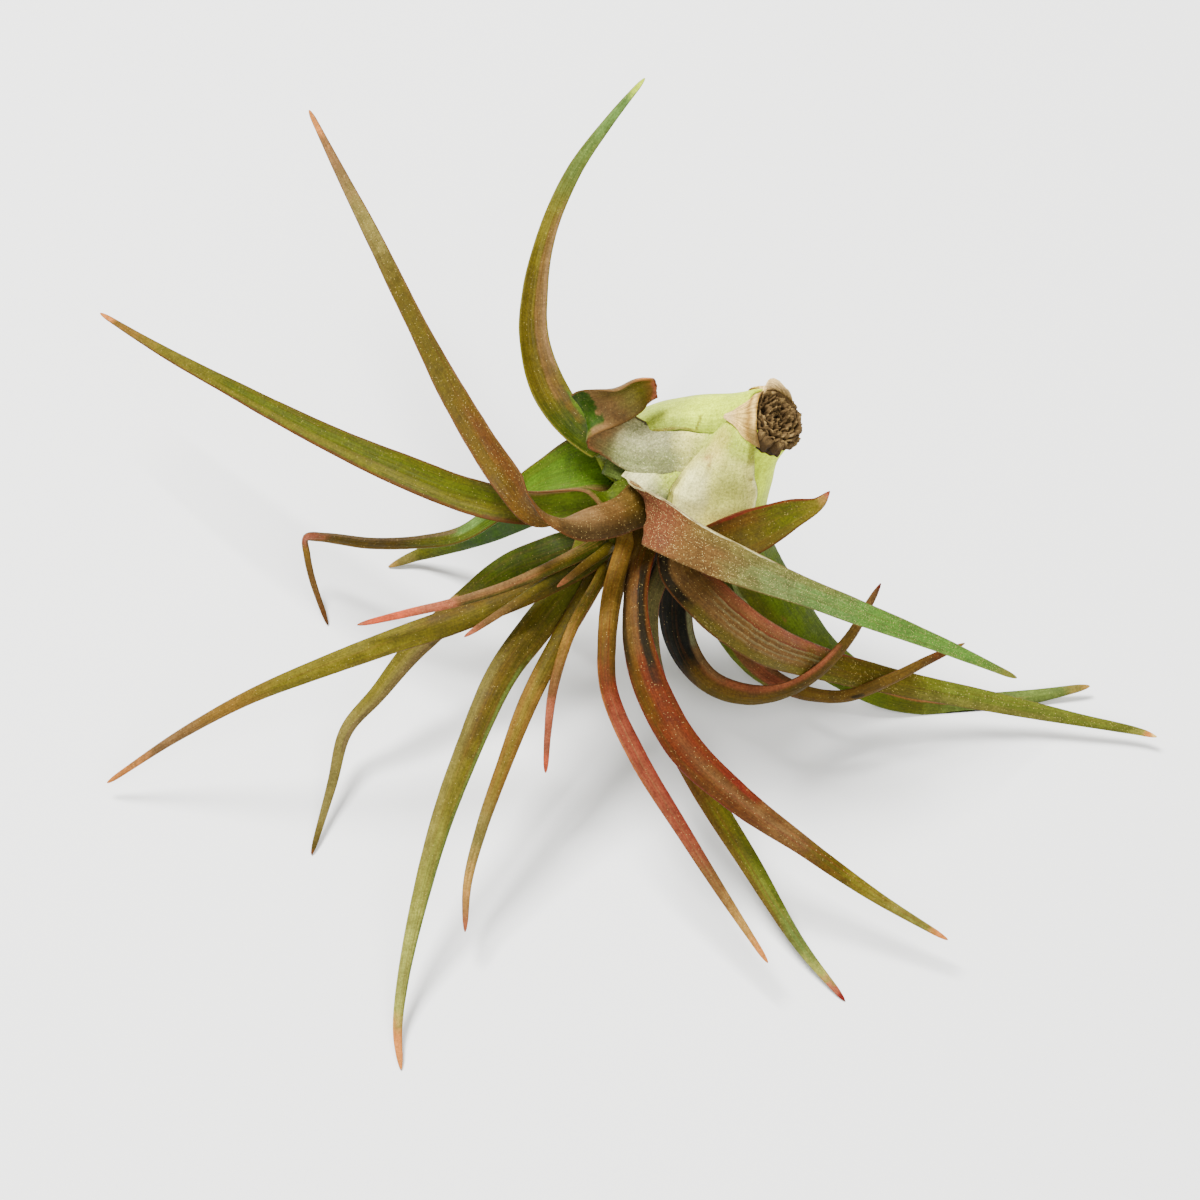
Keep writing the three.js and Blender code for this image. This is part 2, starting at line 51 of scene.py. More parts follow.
PLANT_MIDDLE = np.array((4.26864, -11.03174, 0.0))
LOG = logging.getLogger("air_plant")


class Tone(Enum):
    """Linear base colours of the plant, with a few tones used for painted shade and painted highlights."""

    OLIVE = (0.055, 0.039, 0.001)
    OLIVE_DARK = (0.030, 0.030, 0.001)
    OLIVE_YELLOW = (0.100, 0.082, 0.005)
    LEAF_GREEN = (0.042, 0.060, 0.001)
    BRIGHT_GREEN = (0.052, 0.106, 0.002)
    DEEP_GREEN = (0.014, 0.030, 0.001)
    GLAUCOUS = (0.096, 0.178, 0.036)
    GREY_GREEN = (0.079, 0.110, 0.018)
    PALE_GREEN = (0.420, 0.505, 0.036)
    LIME = (0.560, 0.700, 0.012)
    SILVER = (0.235, 0.228, 0.105)
    SCURF = (0.860, 0.810, 0.380)
    ROSE_BROWN = (0.100, 0.049, 0.012)
    PINK_GREY = (0.140, 0.075, 0.025)
    ROSE = (0.255, 0.068, 0.030)
    CRIMSON = (0.112, 0.006, 0.004)
    RED_BROWN = (0.068, 0.020, 0.003)
    BROWN = (0.068, 0.037, 0.004)
    DARK_BROWN = (0.010, 0.006, 0.001)
    SHADE = (0.0025, 0.0025, 0.0005)
    MAUVE = (0.100, 0.062, 0.028)
    CORAL = (0.440, 0.064, 0.020)
    SALMON = (0.440, 0.150, 0.028)
    TAN = (0.270, 0.150, 0.030)
    TIP_YELLOW = (0.150, 0.148, 0.020)
    STRAW = (0.620, 0.400, 0.100)
    BARK = (0.041, 0.022, 0.006)
    BARK_LIGHT = (0.090, 0.053, 0.018)
    # near-black, used as painted shade in the stub's gaps and in a strip by leaf_04's fold
    CHARCOAL = (0.017, 0.011, 0.004)
    MOSS = (0.066, 0.098, 0.003)
    DARK_MOSS = (0.024, 0.036, 0.001)
    FOREST = (0.018, 0.046, 0.001)
    FRESH_GREEN = (0.082, 0.190, 0.021)
    YELLOW_GREEN = (0.076, 0.090, 0.007)
    OLIVE_GREEN = (0.056, 0.057, 0.002)
    STRAW_GREEN = (0.205, 0.212, 0.036)
    KHAKI = (0.130, 0.104, 0.022)
    CREAM = (0.610, 0.565, 0.140)
    FROST = (0.115, 0.150, 0.042)
    OCHRE = (0.142, 0.075, 0.009)
    SIENNA = (0.067, 0.031, 0.002)
    UMBER = (0.043, 0.025, 0.001)
    RUSSET = (0.075, 0.028, 0.011)
    BRICK = (0.160, 0.042, 0.017)
    HUSK = (0.700, 0.480, 0.190)
    # painted highlight along the rims of the torn scale ends
    RIM_HIGHLIGHT = (0.240, 0.155, 0.052)
    DUST = (0.150, 0.130, 0.040)
    # painted glints: bright specks of light on the scurf scales
    GLINT_GOLD = (0.760, 0.580, 0.200)

    @property
    def rgba(self) -> tuple[float, float, float, float]:
        """The tone as a colour socket takes it."""
        return (*self.value, 1.0)


class Face(Enum):
    """Side of a leaf that a patch of colour lies on."""

    INNER = "inner"
    OUTER = "outer"
    BOTH = "both"


# Laying out points


@dataclass(frozen=True)
class Sight:
    """Sighting point in front of the plant, from which rows are laid out."""

    distance: float = 900.0
    elevation: float = math.radians(55)

    @property
    def eye(self) -> np.ndarray:
        """The sighting point itself."""
        return np.array((0.0, -self.distance * math.cos(self.elevation), self.distance * math.sin(self.elevation)))

    @property
    def up(self) -> np.ndarray:
        """The direction that appears as up from the sighting point."""
        return np.array((0.0, math.sin(self.elevation), math.cos(self.elevation)))

    def place(self, across: float, up: float, height: float) -> np.ndarray:
        """Finds a point from where it appears and its height over the floor.

        Args:
            across: Millimetres to the right of the sight line.
            up: Millimetres above the sight line.
            height: Height over the floor.

        Returns:
            The point.
        """
        sheet = np.array((across, 0.0, 0.0)) + up * self.up
        reach = (self.eye[2] - height) / (self.eye[2] - sheet[2])
        return self.eye + reach * (sheet - self.eye)


SIGHT = Sight()


def unit(vectors: np.ndarray) -> np.ndarray:
    """Scales vectors, one per row, to length one."""
    return vectors / np.maximum(np.linalg.norm(vectors, axis=-1, keepdims=True), 1e-12)


@dataclass(frozen=True)
class StemLine:
    """Line of the stem from the root end to the crown, with its own directions."""

    root_end: np.ndarray
    crown: np.ndarray

    @property
    def axis(self) -> np.ndarray:
        """Direction from the root end to the crown."""
        return unit(self.crown - self.root_end)

    @property
    def front(self) -> np.ndarray:
        """Direction across the stem that faces the sighting point."""
        toward = unit(SIGHT.eye)
        return unit(toward - self.axis * toward.dot(self.axis))

    @property
    def side(self) -> np.ndarray:
        """The third direction of the stem."""
        return np.cross(self.axis, self.front)

    def radial(self, angle: float) -> np.ndarray:
        """Direction away from the stem at an angle in degrees."""
        turn = math.radians(angle)
        return self.front * math.cos(turn) + self.side * math.sin(turn)

    def point(self, along: float, angle: float, radius: float) -> np.ndarray:
        """A point along the stem, at an angle round it and a radius from it."""
        return self.root_end + self.axis * along + self.radial(angle) * radius


STEM = StemLine(SIGHT.place(35.2, 36.4, 72.0), SIGHT.place(8.0, 16.2, 36.0))


@dataclass
class Spine:
    """Smooth curve through points, with spacing that follows their distances."""

    points: np.ndarray

    def at(self, t: np.ndarray) -> np.ndarray:
        """Finds places on the curve.

        Args:
            t: Shares of the way from the first point to the last.

        Returns:
            One point per share.
        """
        last = len(self.points) - 1
        place = np.clip(t, 0.0, 1.0) * last
        i = np.clip(np.floor(place).astype(int), 0, last - 1)
        w = (place - i)[:, None]
        ends = np.vstack((2 * self.points[0] - self.points[1], self.points, 2 * self.points[-1] - self.points[-2]))
        p0, p1, p2, p3 = ends[i], ends[i + 1], ends[i + 2], ends[i + 3]
        d0, d1, d2 = (np.sqrt(np.linalg.norm(b - a, axis=1))[:, None] for a, b in ((p0, p1), (p1, p2), (p2, p3)))
        start = ((p1 - p0) / d0 - (p2 - p0) / (d0 + d1) + (p2 - p1) / d1) * d1
        stop = ((p2 - p1) / d1 - (p3 - p1) / (d1 + d2) + (p3 - p2) / d2) * d1
        return p1 + w * start + w**2 * (3 * (p2 - p1) - 2 * start - stop) + w**3 * (2 * (p1 - p2) + start + stop)

    def heading(self, t: np.ndarray) -> np.ndarray:
        """Directions of the curve at shares of the way along it."""
        step = 1e-4
        return unit(self.at(np.minimum(t + step, 1.0)) - self.at(np.maximum(t - step, 0.0)))


def eased(values: np.ndarray, knots: np.ndarray, at: np.ndarray) -> np.ndarray:
    """Smooth line through values that doesn't overshoot them.

    Args:
        values: One value per knot.
        knots: Rising places of the values.
        at: Places to read.

    Returns:
        The values read.
    """
    gaps = np.diff(knots)
    rises = np.diff(values) / gaps
    slopes = np.zeros_like(values)
    level = rises[:-1] * rises[1:] <= 0
    weights = (2 * gaps[1:] + gaps[:-1], gaps[1:] + 2 * gaps[:-1])
    with np.errstate(divide="ignore", invalid="ignore"):
        inner = (weights[0] + weights[1]) / (weights[0] / rises[:-1] + weights[1] / rises[1:])
    slopes[1:-1] = np.where(level, 0.0, inner)
    slopes[0], slopes[-1] = rises[0], rises[-1]
    i = np.clip(np.searchsorted(knots, at, side="right") - 1, 0, len(gaps) - 1)
    w = (at - knots[i]) / gaps[i]
    return (
        values[i] * (2 * w**3 - 3 * w**2 + 1)
        + slopes[i] * gaps[i] * (w**3 - 2 * w**2 + w)
        + values[i + 1] * (3 * w**2 - 2 * w**3)
        + slopes[i + 1] * gaps[i] * (w**3 - w**2)
    )


def turned_through(rows: np.ndarray, place: np.ndarray) -> np.ndarray:
    """Directions between rows of directions, turning smoothly from one to the next.

    Args:
        rows: One direction per row.
        place: Row numbers with their fractions.

    Returns:
        One direction per place.
    """
    slopes = np.gradient(rows, axis=0)
    i = np.clip(np.floor(place).astype(int), 0, len(rows) - 2)
    w = (place - i)[:, None]
    return unit(
        rows[i] * (2 * w**3 - 3 * w**2 + 1)
        + slopes[i] * (w**3 - 2 * w**2 + w)
        + rows[i + 1] * (3 * w**2 - 2 * w**3)
        + slopes[i + 1] * (w**3 - w**2)
    )


def wander(places: np.ndarray, seed: float) -> np.ndarray:
    """Even noise from -1 to 1 along a line of places."""
    return np.array([noise.noise(Vector((float(p), seed, 0.37 * seed))) for p in places])


def wander_over(first: np.ndarray, second: np.ndarray, seed: float) -> np.ndarray:
    """Even noise from -1 to 1 over a surface with two coordinates."""
    flat = [noise.noise(Vector((float(a), float(b), seed))) for a, b in zip(first.ravel(), second.ravel())]
    return np.array(flat).reshape(first.shape)


# Meshes


def lofted(name: str, rings: np.ndarray, values: dict[str, np.ndarray]) -> bpy.types.Object:
    """Makes a closed skin from a grid whose rows are wrapped into rings.

    Args:
        name: Name of the new piece.
        rings: Points in millimetres on the sight frame, as rows, columns and three
            coordinates; the last column lies on the first.
        values: Numbers for each point that materials read, by attribute name.

    Returns:
        The piece, with its place in its mesh.
    """
    rows, columns = rings.shape[:2]
    bpy.ops.object.select_all(action="DESELECT")
    bpy.ops.mesh.primitive_grid_add(x_subdivisions=columns - 1, y_subdivisions=rows - 1, size=1.0, calc_uvs=True)
    piece = bpy.context.object
    piece.name = piece.data.name = name
    mesh = piece.data
    placed = (rings - PLANT_MIDDLE).reshape(-1, 3) * MM
    placed[:, 2] = np.maximum(placed[:, 2], 0.0)
    mesh.vertices.foreach_set("co", placed.astype(np.float32).ravel())
    for key, numbers in values.items():
        layer = mesh.attributes.new(key, "FLOAT", "POINT")
        layer.data.foreach_set("value", numbers.astype(np.float32).ravel())
    bpy.ops.object.mode_set(mode="EDIT")
    bpy.ops.mesh.select_all(action="SELECT")
    bpy.ops.mesh.remove_doubles(threshold=2e-7)
    bpy.ops.mesh.normals_make_consistent(inside=False)
    bpy.ops.object.mode_set(mode="OBJECT")
    bpy.ops.object.shade_smooth()
    return piece


def dressed(piece: bpy.types.Object, material: bpy.types.Material, slot: str, *nodes: str) -> bpy.types.Object:
    """Gives a finished piece its material, its body and the nodes that it stands for.

    Args:
        piece: The finished piece.
        material: Its material.
        slot: Material slot of the record.
        nodes: CAD nodes that it replaces.

    Returns:
        The same piece.
    """
    piece.data.materials.clear()
    piece.data.materials.append(material)
    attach(piece, "root")
    if nodes:
        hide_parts(*nodes)
    LOG.info("%s: %d faces, slot %s, for %s", piece.name, len(piece.data.polygons), slot, ", ".join(nodes) or "itself")
    return piece


# Materials


class Bench:
    """Lays out the nodes of one material."""

    def __init__(self, name: str) -> None:
        """Starts a material with one shader.

        Args:
            name: Name of the material.
        """
        self.material = bpy.data.materials.new(name)
        self.material.use_nodes = True
        self.tree = self.material.node_tree
        self.tree.nodes.clear()
        self.shader = self.tree.nodes.new("ShaderNodeBsdfPrincipled")
        self.output = self.tree.nodes.new("ShaderNodeOutputMaterial")
        self.tree.links.new(self.shader.outputs[0], self.output.inputs["Surface"])

    def feed(self, socket: bpy.types.NodeSocket, value: object) -> None:
        """Links a socket to another one, or sets its own value."""
        if isinstance(value, bpy.types.NodeSocket):
            self.tree.links.new(value, socket)
        elif isinstance(value, Tone):
            socket.default_value = value.rgba
        else:
            socket.default_value = value

    def attribute(self, name: str) -> bpy.types.NodeSocket:
        """A number stored on the mesh."""
        node = self.tree.nodes.new("ShaderNodeAttribute")
        node.attribute_name = name
        return node.outputs["Fac"]

    def place(self, kind: str) -> bpy.types.NodeSocket:
        """Coordinates of the piece, Object or UV."""
        return self.tree.nodes.new("ShaderNodeTexCoord").outputs[kind]

    def stretched(self, vector: bpy.types.NodeSocket, scale: tuple[float, float, float]) -> bpy.types.NodeSocket:
        """Coordinates scaled by axis."""
        node = self.tree.nodes.new("ShaderNodeMapping")
        self.feed(node.inputs["Vector"], vector)
        node.inputs["Scale"].default_value = scale
        return node.outputs[0]

    def math(self, kind: str, first: object, second: object = 0.0, third: object = 0.0) -> bpy.types.NodeSocket:
        """One sum on numbers."""
        node = self.tree.nodes.new("ShaderNodeMath")
        node.operation = kind
        for socket, value in zip(node.inputs, (first, second, third)):
            self.feed(socket, value)
        return node.outputs[0]

    def rise(self, value: object, low: float, high: float, start: float = 0.0, stop: float = 1.0) -> bpy.types.NodeSocket:
        """Smooth step from start to stop while the value goes from low to high."""
        node = self.tree.nodes.new("ShaderNodeMapRange")
        node.interpolation_type = "SMOOTHSTEP"
        for socket, number in zip(node.inputs, (value, low, high, start, stop)):
            self.feed(socket, number)
        return node.outputs[0]

    def grain(self, vector: object, scale: float, detail: float = 2.0, rough: float = 0.55) -> bpy.types.NodeSocket:
        """Soft noise, about 0.3 to 0.7."""
        node = self.tree.nodes.new("ShaderNodeTexNoise")
        self.feed(node.inputs["Vector"], vector)
        node.inputs["Scale"].default_value = scale
        node.inputs["Detail"].default_value = detail
        node.inputs["Roughness"].default_value = rough
        return node.outputs["Fac"]

    def cells(self, vector: object, scale: float) -> tuple[bpy.types.NodeSocket, bpy.types.NodeSocket]:
        """Distance to the nearest of scattered points, and that point's own number."""
        node = self.tree.nodes.new("ShaderNodeTexVoronoi")
        self.feed(node.inputs["Vector"], vector)
        node.inputs["Scale"].default_value = scale
        part = self.tree.nodes.new("ShaderNodeSeparateColor")
        self.feed(part.inputs[0], node.outputs["Color"])
        return node.outputs["Distance"], part.outputs[0]

    def blend(self, share: object, under: object, over: object, kind: str = "MIX") -> bpy.types.NodeSocket:
        """Mixes two colours."""
        node = self.tree.nodes.new("ShaderNodeMix")
        node.data_type = "RGBA"
        node.blend_type = kind
        self.feed(node.inputs[0], share)
        self.feed(node.inputs[6], under)
        self.feed(node.inputs[7], over)
        return node.outputs[2]

    def ramp(self, value: object, stops: list[tuple[float, Tone]]) -> bpy.types.NodeSocket:
        """Colour that changes from stop to stop."""
        node = self.tree.nodes.new("ShaderNodeValToRGB")
        node.color_ramp.interpolation = "EASE"
        marks = node.color_ramp.elements
        while len(marks) < len(stops):
            marks.new(0.5)
        for mark, (place, tone) in zip(marks, stops):
            mark.position = min(max(place, 0.0), 1.0)
            mark.color = tone.rgba
        self.feed(node.inputs[0], value)
        return node.outputs[0]

    def relief(self, height: object, strength: float, depth: float) -> None:
        """Puts a bump of a depth in metres on the shader."""
        node = self.tree.nodes.new("ShaderNodeBump")
        node.inputs["Strength"].default_value = strength
        node.inputs["Distance"].default_value = depth
        self.feed(node.inputs["Height"], height)
        self.feed(self.shader.inputs["Normal"], node.outputs[0])


@dataclass(frozen=True)
class Streak:
    """A patch of another colour on a leaf.

    across runs from -1, the left margin as one looks along the leaf, to 1, the right
    one; rows are blade rows of the leaf's table, below 0 on the sheath.
    """

    tone: Tone
    across: tuple[float, float]
    rows: tuple[float, float]
    strength: float = 0.8
    face: Face = Face.BOTH
    soft: float = 0.22
    fade: float = 0.5


@dataclass(frozen=True)
class LeafSkin:
    """Finish of a leaf: colours of both sides from base to tip, margins and scurf, with bright specks painted on as
    glints of light.
    """

    inner: tuple[tuple[float, Tone], ...]
    outer: tuple[tuple[float, Tone], ...]
    rim: Tone = Tone.RED_BROWN
    rim_share: float = 0.05
    rim_from: float = -0.5
    blush: float = 0.3
    film: float = 0.05
    # how many specks of painted glint the leaf shows, and how strong they are
    glint_share: float = 0.15
    veins: float = 0.5
    meal: float = 0.0
    streaks: tuple[Streak, ...] = ()

    def material(self, name: str, first_row: int, last_row: int, length: float) -> bpy.types.Material:
        """Builds the material of one leaf.

        Args:
            name: Name of the material.
            first_row: Row number at the base.
            last_row: Row number at the tip.
            length: Length of the leaf in millimetres.

        Returns:
            The material.
        """
        bench = Bench(name)
        spot = bench.place("Object")
        sheet = bench.place("UV")
        mottle = bench.grain(spot, 330.0, 3.0)
        granules = bench.grain(spot, 2300.0, 2.0, 0.7)
        fibres = bench.grain(bench.stretched(sheet, (70.0, length / 9.0, 1.0)), 1.0, 2.0)
        bands = bench.grain(bench.stretched(sheet, (23.0, length / 26.0, 1.0)), 1.0, 3.0)
        unrest = bench.math("SUBTRACT", mottle, 0.5)
        plain = bench.attribute("across")
        across = bench.math("MULTIPLY_ADD", unrest, 0.22, plain)
        across = bench.math("MULTIPLY_ADD", bench.math("SUBTRACT", fibres, 0.5), 0.2, across)
        row = bench.math("MULTIPLY_ADD", unrest, 0.7, bench.attribute("row"))
        under = bench.attribute("under")
        span = last_row - first_row
        share = bench.math("DIVIDE", bench.math("SUBTRACT", row, float(first_row)), float(span))
        ramps = [bench.ramp(share, [((r - first_row) / span, tone) for r, tone in side]) for side in (self.inner, self.outer)]
        colour = bench.blend(under, ramps[0], ramps[1])
        blush = bench.math("MULTIPLY", bench.rise(bands, 0.46, 0.68, 0.0, self.blush), bench.rise(row, -0.6, 0.4))
        colour = bench.blend(blush, colour, self.rim)
        for streak in self.streaks:
            colour = bench.blend(self.reach_of(bench, streak, across, row, under), colour, streak.tone)
        if self.meal:
            flour = bench.grain(spot, 2400.0, 4.0, 0.8)
            on_sheath = bench.math("MULTIPLY", bench.rise(row, 0.3, -0.5), self.meal)
            for tone, low, high in ((Tone.GREY_GREEN, 0.48, 0.34), (Tone.SCURF, 0.56, 0.74)):
                colour = bench.blend(bench.math("MULTIPLY", bench.rise(flour, low, high), on_sheath), colour, tone)
        patches = bench.rise(bench.grain(spot, 700.0, 4.0, 0.65), 0.4, 0.72)
        colour = bench.blend(bench.math("MULTIPLY", patches, self.film), colour, Tone.DUST)
        shade = bench.rise(fibres, 0.3, 0.7, 1.0 - 0.32 * self.veins, 1.0 + 0.32 * self.veins)
        shade = bench.math("MULTIPLY", shade, bench.rise(mottle, 0.3, 0.7, 0.84, 1.16))
        shade = bench.math("MULTIPLY", shade, bench.rise(granules, 0.3, 0.7, 0.78, 1.22))
        tint = bench.tree.nodes.new("ShaderNodeCombineColor")
        for socket in tint.inputs:
            bench.feed(socket, shade)
        colour = bench.blend(1.0, colour, tint.outputs[0], "MULTIPLY")
        dust = bench.math("MULTIPLY", bench.rise(granules, 0.56, 0.76), 0.04 + 0.45 * self.film)
        colour = bench.blend(dust, colour, Tone.DUST)
        edge = bench.math("MULTIPLY_ADD", bench.math("SUBTRACT", fibres, 0.5), 0.05, bench.math("ABSOLUTE", plain))
        edge = bench.rise(edge, 1.0 - 2.4 * self.rim_share, 1.0 - 0.8 * self.rim_share, 0.0, 0.75)
        edge = bench.math("MULTIPLY", edge, bench.rise(row, self.rim_from - 0.4, self.rim_from + 0.4))
        colour = bench.blend(edge, colour, self.rim)
        # Bright gold specks: painted glints of light on the scurf scales.
        away, own = bench.cells(spot, 3800.0 + 1000.0 * self.glint_share)
        glint_speck = bench.math("MULTIPLY", bench.rise(away, 0.44, 0.16), bench.rise(own, 1.0 - 0.4 * self.glint_share, 1.0 - 0.2 * self.glint_share))
        colour = bench.blend(bench.math("MULTIPLY", glint_speck, min(0.2 + 0.55 * self.glint_share, 0.7)), colour, Tone.GLINT_GOLD)
        bench.feed(bench.shader.inputs["Base Color"], colour)
        bench.feed(bench.shader.inputs["Roughness"], bench.rise(mottle, 0.3, 0.7, 0.52, 0.7))
        bench.shader.inputs["Specular IOR Level"].default_value = 0.08
        height = bench.math("MULTIPLY_ADD", granules, 0.55, fibres)
        bench.relief(height, 0.5, 0.00016)
        return bench.material

    @staticmethod
    def reach_of(
        bench: Bench,
        streak: Streak,
        across: bpy.types.NodeSocket,
        row: bpy.types.NodeSocket,
        under: bpy.types.NodeSocket,
    ) -> bpy.types.NodeSocket:
        """Says how strongly a streak covers each place.

        Args:
            bench: Bench of the material.
            streak: The patch.
            across: Place across the leaf.
            row: Place along the leaf.
            under: 0 on the inner side, 1 on the outer side.

        Returns:
            The share of the streak's colour.
        """
        masks = []
        for value, (low, high), soft in ((across, streak.across, streak.soft), (row, streak.rows, streak.fade)):
            masks.append(bench.rise(value, low - soft / 2, low + soft / 2))
            masks.append(bench.rise(value, high + soft / 2, high - soft / 2))
        if streak.face is not Face.BOTH:
            masks.append(under if streak.face is Face.OUTER else bench.math("SUBTRACT", 1.0, under))
        share = streak.strength
        for mask in masks:
            share = bench.math("MULTIPLY", mask, share)
        return share


@dataclass(frozen=True)
class DrySkin:
    """Finish of dead tissue: fibres, dark and light flecks, no gloss."""

    low: Tone
    middle: Tone
    high: Tone
    scale: float = 900.0
    relief: float = 0.0004

    def material(self, name: str) -> bpy.types.Material:
        """Builds the material under a name."""
        bench = Bench(name)
        spot = bench.place("Object")
        coarse = bench.grain(spot, self.scale, 4.0, 0.65)
        fine = bench.grain(spot, self.scale * 3.1, 3.0, 0.7)
        mixed = bench.math("MULTIPLY_ADD", fine, 0.45, bench.math("MULTIPLY", coarse, 0.6))
        stops = [(0.36, self.low), (0.52, self.middle), (0.68, self.high)]
        bench.feed(bench.shader.inputs["Base Color"], bench.ramp(mixed, stops))
        bench.feed(bench.shader.inputs["Roughness"], bench.rise(fine, 0.3, 0.7, 0.78, 0.97))
        bench.shader.inputs["Specular IOR Level"].default_value = 0.2
        bench.relief(mixed, 0.8, self.relief)
        return bench.material


@dataclass(frozen=True)
class StubSkin:
    """Finish of torn scale ends: darker toward their feet as painted shade in the gaps, lighter toward the rims as
    painted highlight.
    """

    gap_shade: Tone
    body: Tone
    light: Tone
    rim_highlight: Tone

    def material(self, name: str) -> bpy.types.Material:
        """Builds the material under a name."""
        bench = Bench(name)
        spot = bench.place("Object")
        coarse = bench.grain(spot, 620.0, 4.0, 0.65)
        fine = bench.grain(spot, 2600.0, 3.0, 0.7)
        # Going up each scale end moves the colour from painted shade at the foot to painted highlight at the rim.
        mixed = bench.math("MULTIPLY_ADD", bench.attribute("rise"), 0.42, bench.math("MULTIPLY", coarse, 0.62))
        mixed = bench.math("MULTIPLY_ADD", fine, 0.3, mixed)
        stops = [(0.46, self.gap_shade), (0.64, self.body), (0.86, self.light), (1.0, self.rim_highlight)]
        bench.feed(bench.shader.inputs["Base Color"], bench.ramp(mixed, stops))
        bench.feed(bench.shader.inputs["Roughness"], bench.rise(fine, 0.3, 0.7, 0.75, 0.95))
        bench.shader.inputs["Specular IOR Level"].default_value = 0.15
        bench.relief(bench.math("MULTIPLY_ADD", fine, 0.4, coarse), 0.8, 0.0004)
        return bench.material


# Leaves


@dataclass(frozen=True)
class Swell:
    """A place of a leaf that stands out on its outer side, or sinks in below 0.

    across and row say where its middle is, reach and run how far it spreads each way.
    """

    across: float
    row: float
    height: float
    reach: float = 0.35
    run: float = 1.0


